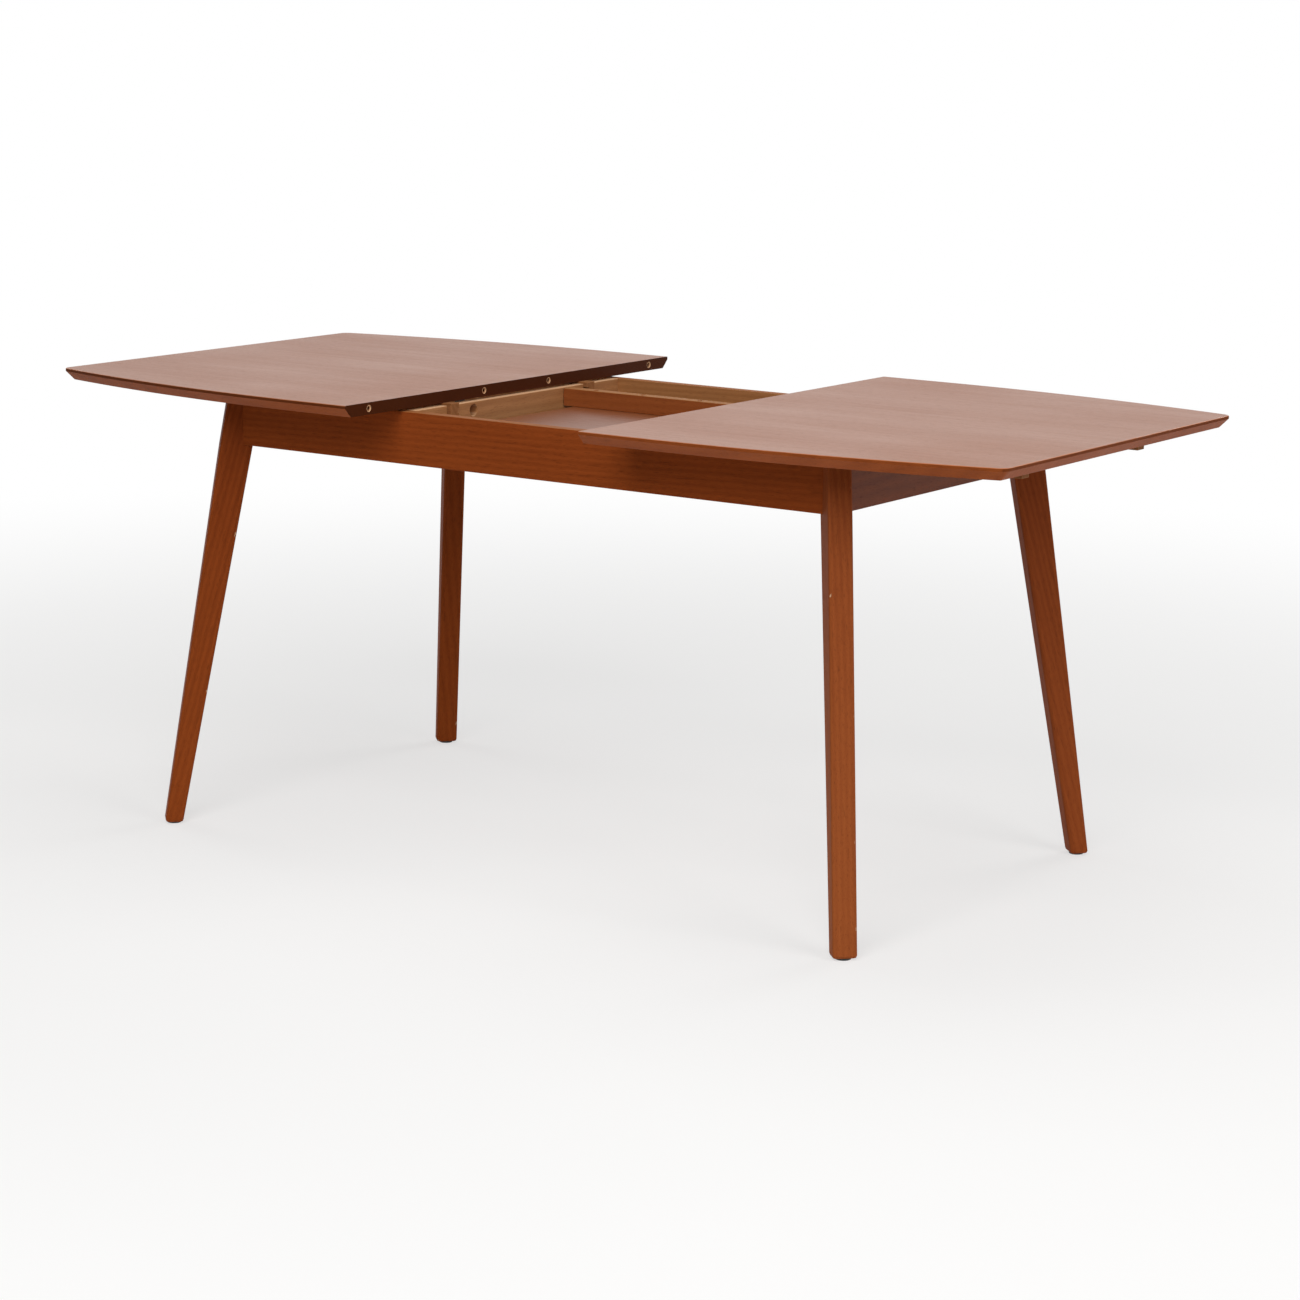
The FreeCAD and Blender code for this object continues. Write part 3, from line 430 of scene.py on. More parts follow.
def weigh(figure, base, **weights):
    """A base value and weighted parts of a figure, added up."""
    return sum(figure[part] * weight for part, weight in weights.items()) + base


def raw_colour(finish, figure):
    plain = finish.mix(weigh(figure, **RAW_SHADE), RAW_LIGHT, RAW_DARK)
    return finish.mix(figure["pores"] * RAW_PORES, plain, RAW_PORE)


def raw_wood(name, along, board, plan_turn=0.0):
    """Sanded wood without stain."""
    material, finish = new_finish(name)
    figure = grain(finish, along, board)
    # Painted light: upper faces are mixed towards the pale colour, as if lit from above.
    upper = facing(finish, Z_WAY) * RAW_PAINTED_TOP_LIGHT
    knocked = eased_edges(finish, plan_turn) * (figure["clouds"] * RAW_KNOCKS)
    finish.close(finish.principled({
        "Base Color": finish.mix(upper.larger(knocked), raw_colour(finish, figure), RAW_EDGE),
        "Roughness": weigh(figure, **RAW_ROUGHNESS), "Specular IOR Level": RAW_SHEEN,
        "Normal": finish.bump(weigh(figure, **RAW_HEIGHT), *RAW_BUMP)}))
    return material


print("raw wood ready")

# %% [markdown]
# Stain.
# The show wood is stained reddish brown. The stain is darker in the late wood of each ring and in the
# pores, and it thins out on the edges, where the table has small chips as well. The top is a veneered
# panel in a redder solid lipping. Each of these is one more colour laid over the last through a mask.

# %% Stain
STAIN_SHADE = {"base": -0.24, "rings": 0.22, "fibres": 0.42, "streaks": 0.32, "clouds": 0.5}
STAIN_PORES, STAIN_FLECKS = 0.55, 0.28      # how strongly they show
MARK_DARK, DEEP_DARK = 0.4, 0.2     # pores, and sawn ends and edges with painted shade, as parts of the dark stain
EDGE_WEAR = (0.5, 1.15)
CHIP, CHIP_SCALE, CHIP_LIMITS = (0.62, 0.42, 0.26), 55.0, (0.71, 0.74)
PAINTED_SHADE_MIDDLE = 0.3       # height on a leg where the painted shade and light by height are nil, in metres


def stained_colour(finish, figure, stain, edges, lipping=None, face=None, deep=(), bare=(), bored=None,
                   fade=0.0, wear=EDGE_WEAR):
    """The colours of stained wood.

    stain holds the light and dark colours, and lipping those of the solid edge round a panel; face is
    the way that a panel's better side faces, with its own stain. edges makes the mask of worn places;
    deep lists ways of facing that are darker, with amounts: sawn ends that took more stain, and edges
    with painted shade. bare lists those that took less stain, which on an apron's top edge is a painted
    highlight too, and bored makes the mask of bare walls in holes. fade paints shade high on a leg,
    where the top shades it, and light towards its foot, where the floor throws light up. wear says how
    much of an edge is worn, and how many times lighter it gets; on a top's arris it is a painted
    highlight too.
    """
    light, dark = stain
    shade = weigh(figure, **STAIN_SHADE)
    # Painted shade and light: darker high on a leg, where the top shades it, lighter towards the foot,
    # which the floor lights.
    if fade:
        shade = shade + (finish.parts(finish.place())[2] - PAINTED_SHADE_MIDDLE) * fade
    colour = finish.mix(shade, light, dark)
    if face:
        way, better = face
        colour = finish.mix(facing(finish, way), colour, finish.mix(shade, *better))
    if lipping:
        colour = finish.mix(level_faces(finish), finish.mix(shade, *lipping), colour)
    marks = (figure["pores"] * STAIN_PORES).larger(figure["flecks"] * STAIN_FLECKS)
    colour = finish.mix(marks, colour, Vector(dark) * MARK_DARK)
    deep_stain_and_shade = Vector((lipping or stain)[1]) * DEEP_DARK
    # Darker upright faces: sawn ends that took more stain, and painted shade on the front edges of the
    # top's halves.
    for way, amount in deep:
        colour = finish.mix(upright_edge(finish, way) * amount, colour, deep_stain_and_shade)
    edge = edges(finish)
    worn, lighter = wear
    # Paler worn edges; on a top's arris the wear is a painted highlight too.
    colour = finish.mix(edge * (figure["clouds"] * worn), colour, Vector(light) * lighter)
    chips = edge * finish.noise(finish.place(), CHIP_SCALE, 2).step(*CHIP_LIMITS)
    colour = finish.mix(chips, colour, CHIP)
    for way, amount in bare:
        opened = facing(finish, way, FLAT_AND_EDGE) * amount
        colour = finish.mix(opened, colour, raw_colour(finish, figure))
    if bored:
        colour = finish.mix(bored(finish), colour, RAW_EDGE)
    return colour


print("stain ready")

# %% [markdown]
# Stained wood and its lacquer.
# Two shaders make the finish: satin lacquer on the faces that were polished, and a dull one for edges
# and insides. At the photograph's low angle the lacquer mirrors the white room, and that is what turns
# the top pinkish. The two share their colour and bump, and a mask mixes them.

# %% Stained wood
STAIN_HEIGHT = {"base": 0.0, "fibres": 0.4, "pores": -0.7, "streaks": 0.2}
STAIN_BUMP = (0.16, 0.0003)     # strength, and depth in metres
DULL_ROUGHNESS = {"base": 0.48, "clouds": 0.1, "pores": 0.15}
SATIN_ROUGHNESS = {"base": 0.26, "clouds": 0.14, "pores": 0.12, "streaks": 0.08}
DULL_SHEEN, SATIN_SHEEN = 0.04, 0.5


def stained_wood(name, along, board, stain, edges, lacquer=None, sheen=DULL_SHEEN, **places):
    """Stained wood.

    lacquer makes the mask of glossy places, and sheen is the gloss of what isn't lacquered. The places
    where the stain differs are passed on to stained_colour.
    """
    material, finish = new_finish(name)
    figure = grain(finish, along, board)
    shared = {"Base Color": stained_colour(finish, figure, stain, edges, **places),
              "Normal": finish.bump(weigh(figure, **STAIN_HEIGHT), *STAIN_BUMP)}
    shader = finish.principled({**shared, "Roughness": weigh(figure, **DULL_ROUGHNESS),
                                "Specular IOR Level": sheen})
    if lacquer:
        satin = finish.principled({**shared, "Roughness": weigh(figure, **SATIN_ROUGHNESS),
                                   "Specular IOR Level": SATIN_SHEEN})
        shader = finish.add("ShaderNodeMixShader", None, {0: lacquer(finish), 1: shader, 2: satin})
    finish.close(shader)
    return material


print("stained wood ready")

# %% [markdown]
# Metal.
# Screws are zinc plated, bolts, washers and nuts are blackened, and the hinges are satin brass. Metal
# takes its look from what it mirrors, so its finish is mostly in the roughness: dull patches where it
# was handled, and fine scratches.

# %% Metal
PATCH_SCALE, PATCH_LIMITS, PATCH_AMOUNT = 60.0, (0.45, 0.75), 0.5
SCRATCH_STRETCH, SCRATCH_BUMP = (300, 2500, 2500), (0.15, 0.0001)
METAL_ROUGHNESS = {"patches": 0.2, "scratches": 0.1}


def plain_metal(name, colour, dull, roughness):
    material, finish = new_finish(name)
    patches = finish.noise(finish.place(), PATCH_SCALE, 3)
    scratches = finish.noise(finish.vector("MULTIPLY", finish.place(), SCRATCH_STRETCH), 1.0)
    marks = {"patches": patches, "scratches": scratches}
    finish.close(finish.principled({
        "Base Color": finish.mix(patches.step(*PATCH_LIMITS) * PATCH_AMOUNT, colour, dull),
        "Metallic": 1.0, "Roughness": weigh(marks, roughness, **METAL_ROUGHNESS),
        "Normal": finish.bump(scratches, *SCRATCH_BUMP)}))
    return material


steel = plain_metal("zinc_plated_steel", (0.38, 0.37, 0.35), (0.22, 0.21, 0.19), 0.32)
black_steel = plain_metal("blackened_steel", (0.10, 0.095, 0.09), (0.05, 0.047, 0.045), 0.4)
brass = plain_metal("satin_brass", (0.72, 0.50, 0.20), (0.45, 0.28, 0.10), 0.25)
print("metal:", steel.name, black_steel.name, brass.name)

# %% [markdown]
# Plastic.
# The feet stand on dark plastic glides. A fine stipple from the mould makes them dull, and rubbing on
# the floor has left pale, rough scuffs.

# %% Plastic
GLIDE_DARK, GLIDE_SCUFFED = (0.020, 0.017, 0.015), (0.08, 0.07, 0.06)
SCUFF_SCALE, SCUFF_LIMITS, SCUFF_AMOUNT = 140.0, (0.5, 0.7), 0.5
PLASTIC_ROUGHNESS, SCUFF_ROUGHNESS = 0.5, 0.2
STIPPLE_SCALE, STIPPLE_BUMP = 2200.0, (0.2, 0.0001)

glide_plastic, mould = new_finish("glide_plastic")
scuffs = mould.noise(mould.place(), SCUFF_SCALE, 3).step(*SCUFF_LIMITS)
stipple = mould.noise(mould.place(), STIPPLE_SCALE, 1)
mould.close(mould.principled({
    "Base Color": mould.mix(scuffs * SCUFF_AMOUNT, GLIDE_DARK, GLIDE_SCUFFED),
    "Roughness": scuffs * SCUFF_ROUGHNESS + PLASTIC_ROUGHNESS,
    "Normal": mould.bump(stipple, *STIPPLE_BUMP)}))
print("plastic:", glide_plastic.name)

# %% [markdown]
# Holes in the seam.
# Four holes in the left half's seam take the pins of the other half or of the leaf. They were bored
# after the stain had dried, so their walls are bare wood near the mouth; further in they keep the dark
# stain colour, as painted shade inside the hole. Only a place can tell them from the board round them,
# so this mask measures how far a point is from the line through the middle of a hole.

# %% Seam holes
SEAM_HOLE_RADIUS = 0.0046
SEAM_HOLES_Y = (0.090, 0.390)       # from the centre line, to both sides
SEAM_HOLE_BARE_DEPTH = (0.0015, 0.004)       # how far in the walls are bare; deeper, the stain stays as painted shade
SEAM_HOLE_CHIPPED = (0.0003, 0.0011)    # how far round a hole the face is chipped


def seam_holes(finish):
    """1 on the bare walls near the mouths of the seam holes, 0 deeper in, where the stain stays as
    painted shade.
    """
    low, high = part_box("left_top")
    place = finish.add("ShaderNodeVectorMath", {"operation": "ABSOLUTE"}, {0: finish.place()})
    flat = finish.vector("MULTIPLY", place, (0, 1, 1))
    middle = (low.z + high.z) / 2
    inner, outer = (finish.vector("DISTANCE", flat, (0, y, middle), "Value") for y in SEAM_HOLES_Y)
    wall = 1 - inner.smaller(outer).step(*(SEAM_HOLE_RADIUS + reach for reach in SEAM_HOLE_CHIPPED))
    # Deeper in, the walls keep the dark stain: painted shade inside the hole.
    painted_shade_inside = finish.parts(place)[0].step(*(reach - high.x for reach in SEAM_HOLE_BARE_DEPTH))
    return wall * (1 - painted_shade_inside)


print("seam holes at", SEAM_HOLES_Y)

# %% [markdown]
# The stains of each piece.
# A real table isn't one colour: the right legs are paler than the left ones, the end aprons are deeper,
# and the batten and runners are browner. Each stain is a light and a dark colour. The two halves of the
# top and the leaf have sawn ends that are nearly black with stain, and the front edges of the halves get
# painted shade, the left more. The leaf is stored with its better sides together, so what shows then is
# its plainer back.

# %% Stains
TOP_STAIN = ((0.33, 0.110, 0.036), (0.20, 0.058, 0.016))
LIPPING_STAIN = ((0.34, 0.082, 0.018), (0.20, 0.042, 0.008))
FRAME_STAIN = ((0.31, 0.066, 0.012), (0.165, 0.030, 0.0045))
END_STAIN = ((0.21, 0.049, 0.010), (0.115, 0.023, 0.0037))
BATTEN_STAIN = ((0.32, 0.092, 0.025), (0.21, 0.052, 0.013))
RUNNER_STAIN = ((0.32, 0.140, 0.055), (0.18, 0.066, 0.022))
LEAF_STAIN = ((0.24, 0.075, 0.024), (0.14, 0.038, 0.010))
LEG_STAINS = {
    "leg_front_left": FRAME_STAIN, "leg_back_left": FRAME_STAIN,
    "leg_front_right": ((0.33, 0.086, 0.022), (0.19, 0.042, 0.010)),
    "leg_back_right": ((0.31, 0.071, 0.017), (0.175, 0.035, 0.0075)),
}
LEG_PAINTED_SHADE = 0.9      # how much darker a leg is painted per metre of height: painted shade under the top, painted floor light at the foot
END_SHEEN = 0.2     # the end aprons, under the overhang, have kept their satin
# Wear on a top's upper arris, strong enough to be a painted highlight along it as well.
TOP_WEAR_AND_HIGHLIGHT = (1.2, 1.8)
PLANED_AND_HIGHLIGHT = 0.6        # how bare the aprons' top edges are: planed wood, and a painted highlight along them
DEEP_STAIN_AND_PAINTED_SHADE = {      # ways of facing that are darker, and how much: sawn ends that took more stain, and painted shade on the front edges, which face -Y
    "left_top": ((X_WAY, 0.95), (-X_WAY, 0.5), (-Y_WAY, 0.75)),
    "right_top": ((X_WAY, 0.55), (-X_WAY, 0.95), (-Y_WAY, 0.3)),
    "leaf_upper_half": ((X_WAY, 0.9), (-X_WAY, 0.9)),
    "leaf_lower_half": ((X_WAY, 0.9), (-X_WAY, 0.9)),
}
BETTER_SIDE = {
    "left_top": Z_WAY, "right_top": Z_WAY, "leaf_upper_half": -Z_WAY, "leaf_lower_half": Z_WAY,
}
print("panels:", ", ".join(BETTER_SIDE), "and legs:", ", ".join(LEG_STAINS))

# %% [markdown]
# Dress the solids.
# Each CAD node keeps its shape and gets its own finish, picked by its name or by the material that the
# record gives it. The halves of the top and the leaf are lacquered on their faces. The aprons are bare
# inside. The legs stand turned by an eighth in plan, so their edges are looked for at that angle.

# %% Dress the solids
EIGHTH = math.radians(45)


def dress(name, material):
    piece = nodes[name]
    piece.data.materials.clear()
    piece.data.materials.append(material)


def long_way(size):
    return max(((size.x, X_WAY), (size.y, Y_WAY), (size.z, Z_WAY)), key=lambda pair: pair[0])[1]


def sign(number):
    return math.copysign(1, number)


def leg_edges(finish):
    return eased_edges(finish, EIGHTH)


for board, name in enumerate(sorted(nodes)):
    low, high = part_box(name)
    size, middle = high - low, (low + high) / 2
    slot = slots[name]
    if slot == "top_wood":
        stain = LEAF_STAIN if name.startswith("leaf") else TOP_STAIN
        dress(name, stained_wood(name, X_WAY, board, stain, upper_arris, polished_faces,
                                 lipping=LIPPING_STAIN, face=(BETTER_SIDE[name], TOP_STAIN),
                                 deep=DEEP_STAIN_AND_PAINTED_SHADE[name], wear=TOP_WEAR_AND_HIGHLIGHT,
                                 bored=seam_holes if name == "left_top" else None))
    elif name.endswith("apron"):
        along = long_way(size)
        inward = -sign(middle.y) * Y_WAY if along is X_WAY else -sign(middle.x) * X_WAY
        stain, sheen = (FRAME_STAIN, DULL_SHEEN) if along is X_WAY else (END_STAIN, END_SHEEN)
        dress(name, stained_wood(name, along, board, stain, eased_edges, sheen=sheen,
                                 bare=((inward, 1.0), (Z_WAY, PLANED_AND_HIGHLIGHT))))
    elif name.startswith("leg_"):
        down_leg = Vector((sign(middle.x) * size.x, sign(middle.y) * size.y, -size.z)).normalized()
        dress(name, stained_wood(name, down_leg, board, LEG_STAINS[name], leg_edges, fade=LEG_PAINTED_SHADE))
    elif name.endswith("runner"):
        dress(name, stained_wood(name, X_WAY, board, RUNNER_STAIN, eased_edges))
    elif name == "leaf_batten":
        dress(name, stained_wood(name, X_WAY, board, BATTEN_STAIN, eased_edges, bare=((Z_WAY, 1.0),)))
    elif slot == "raw_wood":
        dress(name, raw_wood(name, long_way(size), board,
                             EIGHTH if name.startswith("corner_block") else 0.0))
    else:
        dress(name, {"steel": steel, "brass": brass, "glide": glide_plastic}[slot])
print("finishes", len(bpy.data.materials))

# %% [markdown]
# Find the hardware.
# The small pieces are modelled by hand, but the CAD says where they go. A node such as the foot glides
# holds several solids in one mesh, so its triangles are sorted into lumps that share corners, and the
# box of each lump says where it is and how long.

# %% Find the hardware
SAME_PLACE = 6      # decimals of a metre in which the corners of one solid agree


def lumps(name):
    """Lowest and highest corners of each separate solid of a CAD node."""
    mesh = nodes[name].data
    home = {}

    def root(corner):
        while home[corner] != corner:
            corner = home[corner]
        return corner

    for face in mesh.polygons:
        corners = [tuple(round(value, SAME_PLACE) for value in mesh.vertices[index].co)
                   for index in face.vertices]
        for corner in corners:
            home.setdefault(corner, corner)
        for corner in corners[1:]:
            home[root(corner)] = root(corners[0])
    groups = {}
    for corner in home:
        groups.setdefault(root(corner), []).append(corner)
    boxes = [tuple(Vector([end(axis) for axis in zip(*group)]) for end in (min, max))
             for group in groups.values()]
    return sorted(boxes, key=lambda box: tuple(box[0]))


glide_boxes = lumps("foot_glides")
print(len(glide_boxes), "foot glides")

# %% [markdown]
# Hand tools for the hardware.
# Each small piece starts from a cylinder at the origin and is cut, bevelled and extruded in edit mode,
# as by hand. An operator acts on all that is selected, so these tools first deselect everything, and
# then pick faces or edges by their place or normal. The finished model is copied to the places that
# the CAD gives, each copy with its own mesh, and thrown away.

# %% Hand tools
SQUARE_ON = 0.99        # cosine between a normal and the way it should look
LEVEL_WITHIN = 1e-5     # metres
SMOOTH_ANGLE = math.radians(35)


def start_cylinder(sides, radius, height, middle=0.0):
    """Add an upright cylinder with nothing else selected, apply its place, and open it for editing."""
    bpy.ops.object.select_all(action="DESELECT")
    bpy.ops.mesh.primitive_cylinder_add(vertices=sides, radius=radius, depth=height,
                                        location=(0, 0, middle))
    bpy.ops.object.transform_apply(location=True, rotation=True, scale=True)
    bpy.ops.object.mode_set(mode="EDIT")
    return bpy.context.object


def pick(kind, test):
    """In edit mode, select the faces or edges that pass a test."""
    bpy.ops.mesh.select_mode(type=kind)
    bpy.ops.mesh.select_all(action="DESELECT")
    mesh = bpy.context.object.data
    shape = bmesh.from_edit_mesh(mesh)
    shape.normal_update()
    for item in shape.faces if kind == "FACE" else shape.edges:
        if test(item):
            item.select_set(True)
    bmesh.update_edit_mesh(mesh)


def looks(way):
    return lambda face: face.normal.dot(way) > SQUARE_ON


def at_height(height):
    return lambda edge: all(abs(corner.co.z - height) < LEVEL_WITHIN for corner in edge.verts)


def is_level(edge):
    return abs(edge.verts[0].co.z - edge.verts[1].co.z) < LEVEL_WITHIN


def push(way, grow=1.0):
    """Extrude what is selected, and widen or narrow its end."""
    bpy.ops.mesh.extrude_region_move(TRANSFORM_OT_translate={"value": way})
    if grow != 1:
        bpy.ops.transform.resize(value=(grow, grow, 1), center_override=(0, 0, 0))


def leave_editing():
    bpy.ops.object.mode_set(mode="OBJECT")
    bpy.ops.object.shade_smooth_by_angle(angle=SMOOTH_ANGLE)


def copy_to(model, name, node, material, places):
    """Copies of a model at the given places, joined into one piece that stands for a CAD node."""
    bpy.ops.object.select_all(action="DESELECT")
    for place in places:
        copy = model.copy()
        copy.data = model.data.copy()
        bpy.context.collection.objects.link(copy)
        copy.data.transform(place)
        copy.select_set(True)
        bpy.context.view_layer.objects.active = copy
    bpy.ops.object.join()
    piece = bpy.context.object
    piece.name = name
    piece.data.materials.clear()
    piece.data.materials.append(material)
    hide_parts(node)
    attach(piece, body_of[node])
    bpy.data.objects.remove(model)
    print(name, len(places), "copies,", len(piece.data.polygons), "faces")


print("hand tools ready")

# %% [markdown]
# Foot glides.
# Each foot stands on a round plastic glide: a flat disc with a rounded rim, so that it slides, and a
# dimple under its middle where the mould was filled. A cylinder has the disc's size already: bevel the
# lower rim, inset the underside and push the middle in.

# %% Foot glides
GLIDE_SIDES, GLIDE_RIM = 40, 0.0011
GLIDE_INSET, GLIDE_DIMPLE, DIMPLE_NARROWS = 0.55, 0.0007, 0.8      # inset as a part of the radius

low, high = glide_boxes[0]
glide_radius, glide_height = (high.x - low.x) / 2, high.z - low.z
glide = start_cylinder(GLIDE_SIDES, glide_radius, glide_height, glide_height / 2)
pick("EDGE", at_height(0))
bpy.ops.mesh.bevel(offset=GLIDE_RIM, segments=3, affect="EDGES")
pick("FACE", looks(-Z_WAY))
bpy.ops.mesh.inset(thickness=glide_radius * GLIDE_INSET)
push((0, 0, GLIDE_DIMPLE), DIMPLE_NARROWS)
leave_editing()
copy_to(glide, "moulded_glides", "foot_glides", glide_plastic,
        [Matrix.Translation(((low.x + high.x) / 2, (low.y + high.y) / 2, low.z))
         for low, high in glide_boxes])

# %% [markdown]
# Screws.
# Pan head screws hold the runners to the top from below, and the batten to the leaf from above. They
# sit at the bottom of bored recesses, so only the head shows. The cross in it is cut by bisecting the
# flat of the head with four planes and pushing the five pieces of the cross down.

# %% A screw
SCREW_SIDES = 32
SCREW_HEAD_RADIUS, SCREW_HEAD_HEIGHT, SCREW_SHANK_RADIUS = 0.0045, 0.004, 0.0022
HEAD_ROUND, HEAD_RIM = SCREW_HEAD_HEIGHT * 0.4, SCREW_HEAD_RADIUS * 0.1
HEAD_FLAT = SCREW_HEAD_RADIUS - HEAD_ROUND - HEAD_RIM
CROSS_ARM, CROSS_DEPTH = SCREW_HEAD_RADIUS * 0.13, SCREW_HEAD_HEIGHT * 0.45
CROSS_NARROWS, TIP_NARROWS = 0.85, 0.2
SCREW_TIP = 0.005
ALLOW = 1.02        # lets the corners on the flat's own edge count as on it


def on_flat(face):
    """True for a face on the flat of the head."""
    return looks(Z_WAY)(face) and all(corner.co.xy.length < HEAD_FLAT * ALLOW for corner in face.verts)


def in_cross(face):
    return on_flat(face) and min(map(abs, face.calc_center_median().xy)) < CROSS_ARM


def model_screw(shank_length):
    """A pan head screw, head up, with the underside of its head at the origin."""
    screw = start_cylinder(SCREW_SIDES, SCREW_HEAD_RADIUS, SCREW_HEAD_HEIGHT, SCREW_HEAD_HEIGHT / 2)
    pick("EDGE", at_height(SCREW_HEAD_HEIGHT))
    bpy.ops.mesh.bevel(offset=HEAD_ROUND, segments=4, affect="EDGES")
    pick("FACE", looks(Z_WAY))
    bpy.ops.mesh.inset(thickness=HEAD_RIM)
    for way in (X_WAY, Y_WAY):
        for side in (CROSS_ARM, -CROSS_ARM):
            pick("FACE", on_flat)
            bpy.ops.mesh.bisect(plane_co=way * side, plane_no=way)
    pick("FACE", in_cross)
    push((0, 0, -CROSS_DEPTH), CROSS_NARROWS)
    pick("FACE", looks(-Z_WAY))
    bpy.ops.mesh.inset(thickness=SCREW_HEAD_RADIUS - SCREW_SHANK_RADIUS)
    push((0, 0, SCREW_TIP - shank_length))
    push((0, 0, -SCREW_TIP), TIP_NARROWS)
    leave_editing()
    return screw


print("screw head", SCREW_HEAD_RADIUS, "flat", HEAD_FLAT)

# %% [markdown]
# Drive the screws.
# The runners' screws point up, with their heads below, and the batten's point down. Each is turned on
# a little from the last, because no two screws stop at the same angle.

# %% Drive the screws
SCREW_TURN = 0.7        # radians from one screw to the next

for node in ("left_runner_screws", "right_runner_screws", "batten_screws"):
    head_up = node == "batten_screws"
    boxes = lumps(node)
    low, high = boxes[0]
    screw = model_screw(high.z - low.z - SCREW_HEAD_HEIGHT)
    flip = Matrix.Rotation(0 if head_up else math.pi, 4, "X")
    places = []
    for index, (low, high) in enumerate(boxes):
        seat = high.z - SCREW_HEAD_HEIGHT if head_up else low.z + SCREW_HEAD_HEIGHT
        place = Matrix.Translation(((low.x + high.x) / 2, (low.y + high.y) / 2, seat))
        places.append(place @ flip @ Matrix.Rotation(SCREW_TURN * index, 4, "Z"))
    copy_to(screw, f"pan_head_{node}", node, steel, places)

# %% [markdown]
# Bolts.
# Two hanger bolts hold each leg to its corner block. A hanger bolt has a wood screw on the leg's end
# and a machine thread on the other, where the nut pulls on a washer. The thread is a column of short
# pushes, each a little wider or narrower than the last; rings stand for the helix, which can't be told
# at this size.

# %% Bolts
BOLT_SIDES, BOLT_RADIUS, BOLT_ROOT = 20, 0.004, 0.86        # root as a part of the radius
BOLT_PITCH, BOLT_TURNS = 0.00125, 14
HALF_PITCH = BOLT_PITCH / 2


def diagonal_places(node):
    """Places for pieces that point outwards along a leg's diagonal, at the middle of each solid."""
    places = []
    for low, high in lumps(node):
        middle = (low + high) / 2
        outwards = Vector((sign(middle.x), sign(middle.y), 0)).normalized()
        turn = Z_WAY.rotation_difference(outwards).to_matrix().to_4x4()
        places.append(Matrix.Translation(middle) @ turn)
    return places


low, high = lumps("hanger_bolts")[0]
bolt_length = (high.x - low.x) * math.sqrt(2) - 2 * BOLT_RADIUS
bolt = start_cylinder(BOLT_SIDES, BOLT_RADIUS * BOLT_ROOT, HALF_PITCH, HALF_PITCH / 2 - bolt_length / 2)
pick("FACE", looks(Z_WAY))
for turn in range(BOLT_TURNS):
    push((0, 0, HALF_PITCH), 1 / BOLT_ROOT)
    push((0, 0, HALF_PITCH), BOLT_ROOT)
push((0, 0, HALF_PITCH), 1 / BOLT_ROOT)
push((0, 0, bolt_length - BOLT_PITCH * (BOLT_TURNS + 1)))
leave_editing()
copy_to(bolt, "threaded_bolts", "hanger_bolts", black_steel, diagonal_places("hanger_bolts"))

# %% [markdown]
# Washers.
# A washer is stamped from sheet, which rounds its outer edges a little. Inset both faces of a flat
# cylinder to the size of the bore, bridge the two so that they become a hole, and bevel the rim.

# %% Washers
WASHER_SIDES, WASHER_RADIUS, WASHER_THICKNESS, BORE_RADIUS = 40, 0.009, 0.0016, 0.0041
WASHER_ROUND, RIM_WITHIN = 0.0004, 1e-4


def on_rim(edge):
    outside = WASHER_RADIUS - RIM_WITHIN
    return is_level(edge) and all(corner.co.xy.length > outside for corner in edge.verts)


washer = start_cylinder(WASHER_SIDES, WASHER_RADIUS, WASHER_THICKNESS)
pick("FACE", lambda face: abs(face.normal.z) > SQUARE_ON)
bpy.ops.mesh.inset(thickness=WASHER_RADIUS - BORE_RADIUS)
bpy.ops.mesh.bridge_edge_loops()
pick("EDGE", on_rim)
bpy.ops.mesh.bevel(offset=WASHER_ROUND, segments=2, affect="EDGES")
leave_editing()
copy_to(washer, "flat_washers", "bolt_washers", black_steel, diagonal_places("bolt_washers"))

# %% [markdown]
# Nuts.
# A nut is a hexagon whose corners were turned off on a lathe. Bevelling a hexagon would cut its sides
# as well, so what a hexagon and a bevelled disc share is kept instead, and then the bore is cut.

# %% Nuts
NUT_RADIUS, NUT_HEIGHT, NUT_CHAMFER = 0.0075, 0.0065, 0.0009
HEXAGON, DISC_SIDES, BORE_SIDES = 6, 48, 32
NUT_SMOOTH_ANGLE = math.radians(20)


def carve(piece, tool, operation):
    """Apply a boolean, and throw the tool away."""
    bpy.ops.object.select_all(action="DESELECT")
    bpy.context.view_layer.objects.active = piece
    piece.select_set(True)
    bpy.ops.object.modifier_add(type="BOOLEAN")
    cut = piece.modifiers[-1]
    cut.operation, cut.object, cut.solver = operation, tool, "EXACT"
    bpy.ops.object.modifier_apply(modifier=cut.name)
    bpy.data.objects.remove(tool)


disc = start_cylinder(DISC_SIDES, NUT_RADIUS, NUT_HEIGHT)
pick("EDGE", is_level)
bpy.ops.mesh.bevel(offset=NUT_CHAMFER, segments=1, affect="EDGES")
leave_editing()
nut_bore = start_cylinder(BORE_SIDES, BORE_RADIUS, NUT_HEIGHT * 2)
leave_editing()
nut = start_cylinder(HEXAGON, NUT_RADIUS, NUT_HEIGHT)
leave_editing()
carve(nut, disc, "INTERSECT")
carve(nut, nut_bore, "DIFFERENCE")
bpy.ops.object.shade_smooth_by_angle(angle=NUT_SMOOTH_ANGLE)
copy_to(nut, "hexagon_nuts", "bolt_nuts", black_steel, diagonal_places("bolt_nuts"))

# %% [markdown]
# Dowels and pegs.
# The seams are lined up by wooden dowels, the leaf rests against two pegs, and a peg under each runner
# stops it at the rail. A dowel has rounded ends, so that it finds its hole, and grooves along its sides
# that let the glue out. Bevel the ends of a cylinder, then inset every other side and push it in.

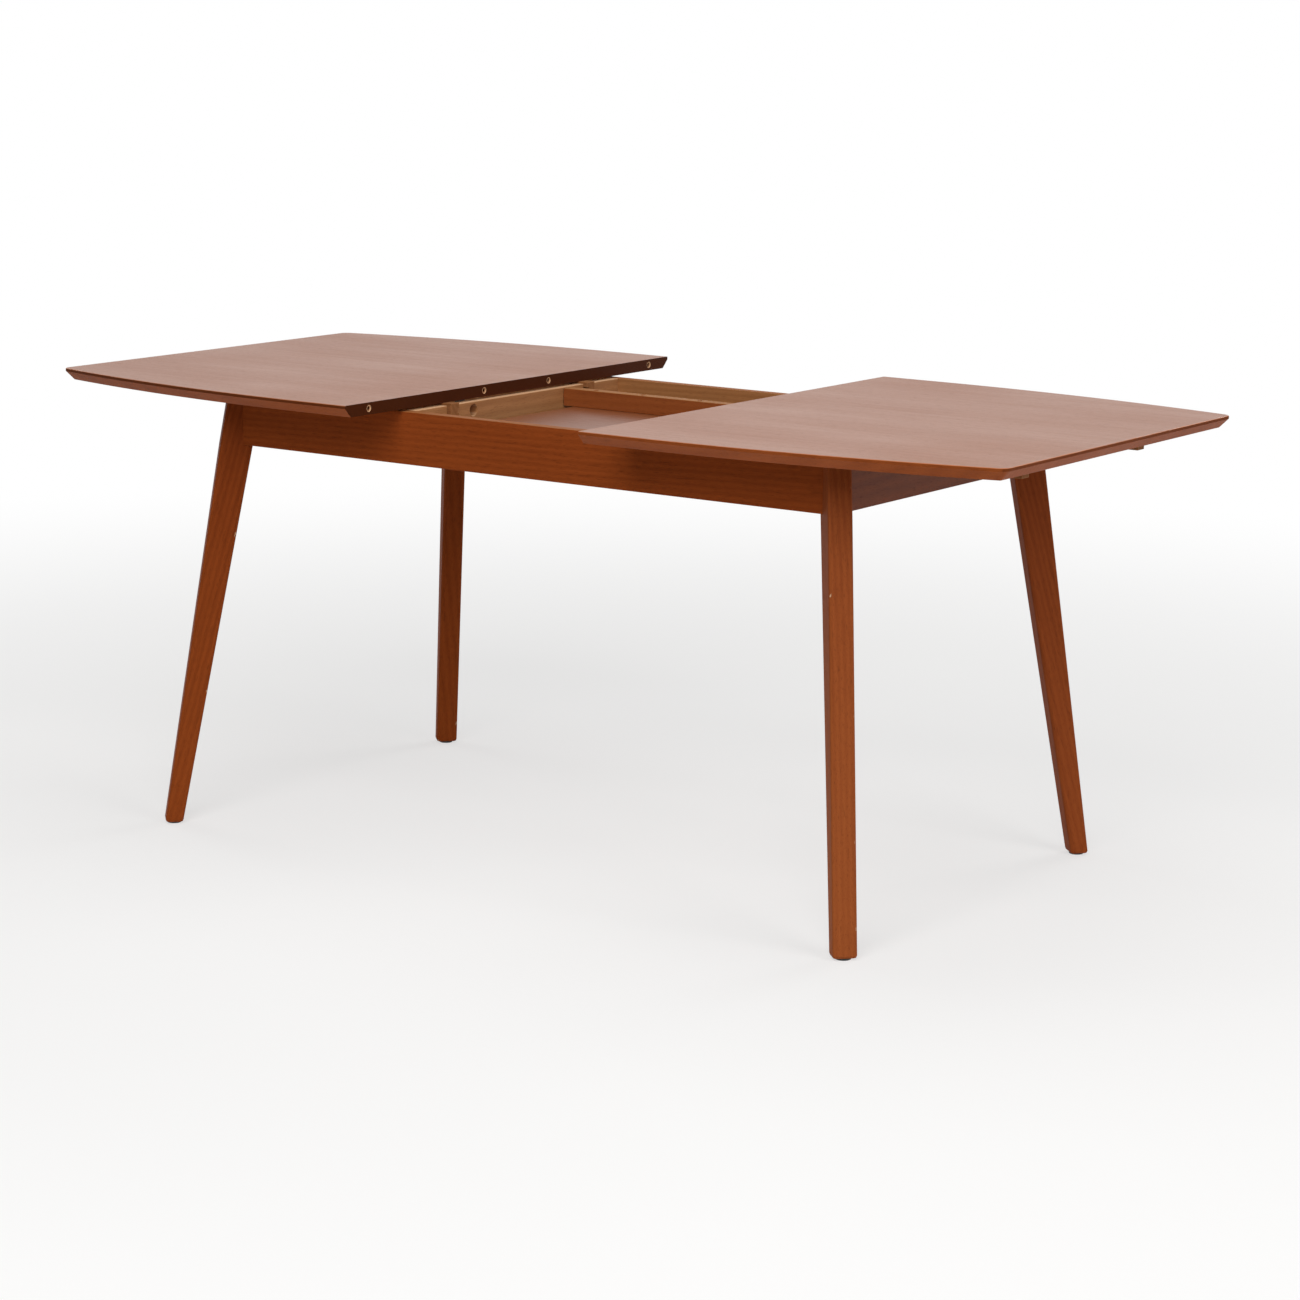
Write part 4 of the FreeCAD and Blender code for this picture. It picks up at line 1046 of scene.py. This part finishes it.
# %% A dowel
DOWEL_SIDES = 24
DOWEL_ROUND = 0.3       # of its ends, as a part of the radius
GROOVE_WALL = 0.6       # inset of a groove, as a part of its depth
UPRIGHT_WITHIN = 0.01


def every_other_side(face):
    middle = face.calc_center_median()
    share = math.atan2(middle.y, middle.x) / (2 * math.pi) * DOWEL_SIDES
    return abs(face.normal.z) < UPRIGHT_WITHIN and math.floor(share) % 2 == 0


def model_dowel(radius, length, groove):
    """A dowel along Z with its middle at the origin."""
    dowel = start_cylinder(DOWEL_SIDES, radius, length)
    pick("EDGE", is_level)
    bpy.ops.mesh.bevel(offset=radius * DOWEL_ROUND, segments=3, affect="EDGES")
    if groove:
        pick("FACE", every_other_side)
        bpy.ops.mesh.inset(thickness=groove * GROOVE_WALL, depth=-groove, use_individual=True)
    leave_editing()
    return dowel


print("dowel with", DOWEL_SIDES, "sides")

# %% [markdown]
# Set the dowels and pegs.
# The dowels lie along the table and the runners' pegs stand upright, so the model is turned to each
# one's way. Pegs that only stop something are smooth. All are bare wood, with the grain along them.

# %% Set the dowels and pegs
GROOVE = 0.0003     # depth in metres
PEGS = {     # which way they point, and how deep their grooves are
    "right_top_pins": (X_WAY, GROOVE), "leaf_upper_pins": (X_WAY, GROOVE),
    "leaf_lower_pins": (X_WAY, GROOVE), "leaf_stop_pegs": (X_WAY, 0),
    "left_runner_stops": (Z_WAY, 0), "right_runner_stops": (Z_WAY, 0),
}

for board, (node, (way, groove)) in enumerate(PEGS.items()):
    boxes = lumps(node)
    low, high = boxes[0]
    length, width = (high - low).dot(way), high.y - low.y
    turn = Z_WAY.rotation_difference(way).to_matrix().to_4x4()
    copy_to(model_dowel(width / 2, length, groove), f"turned_{node}", node,
            raw_wood(f"turned_{node}", way, board),
            [Matrix.Translation((low + high) / 2) @ turn for low, high in boxes])

# %% [markdown]
# Sizes, and the end.
# The dressed table must stay inside the box of the solids; the box of what is shown is printed.

# %% Sizes, and the end
low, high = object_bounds()
print("visual box", tuple(low), tuple(high))
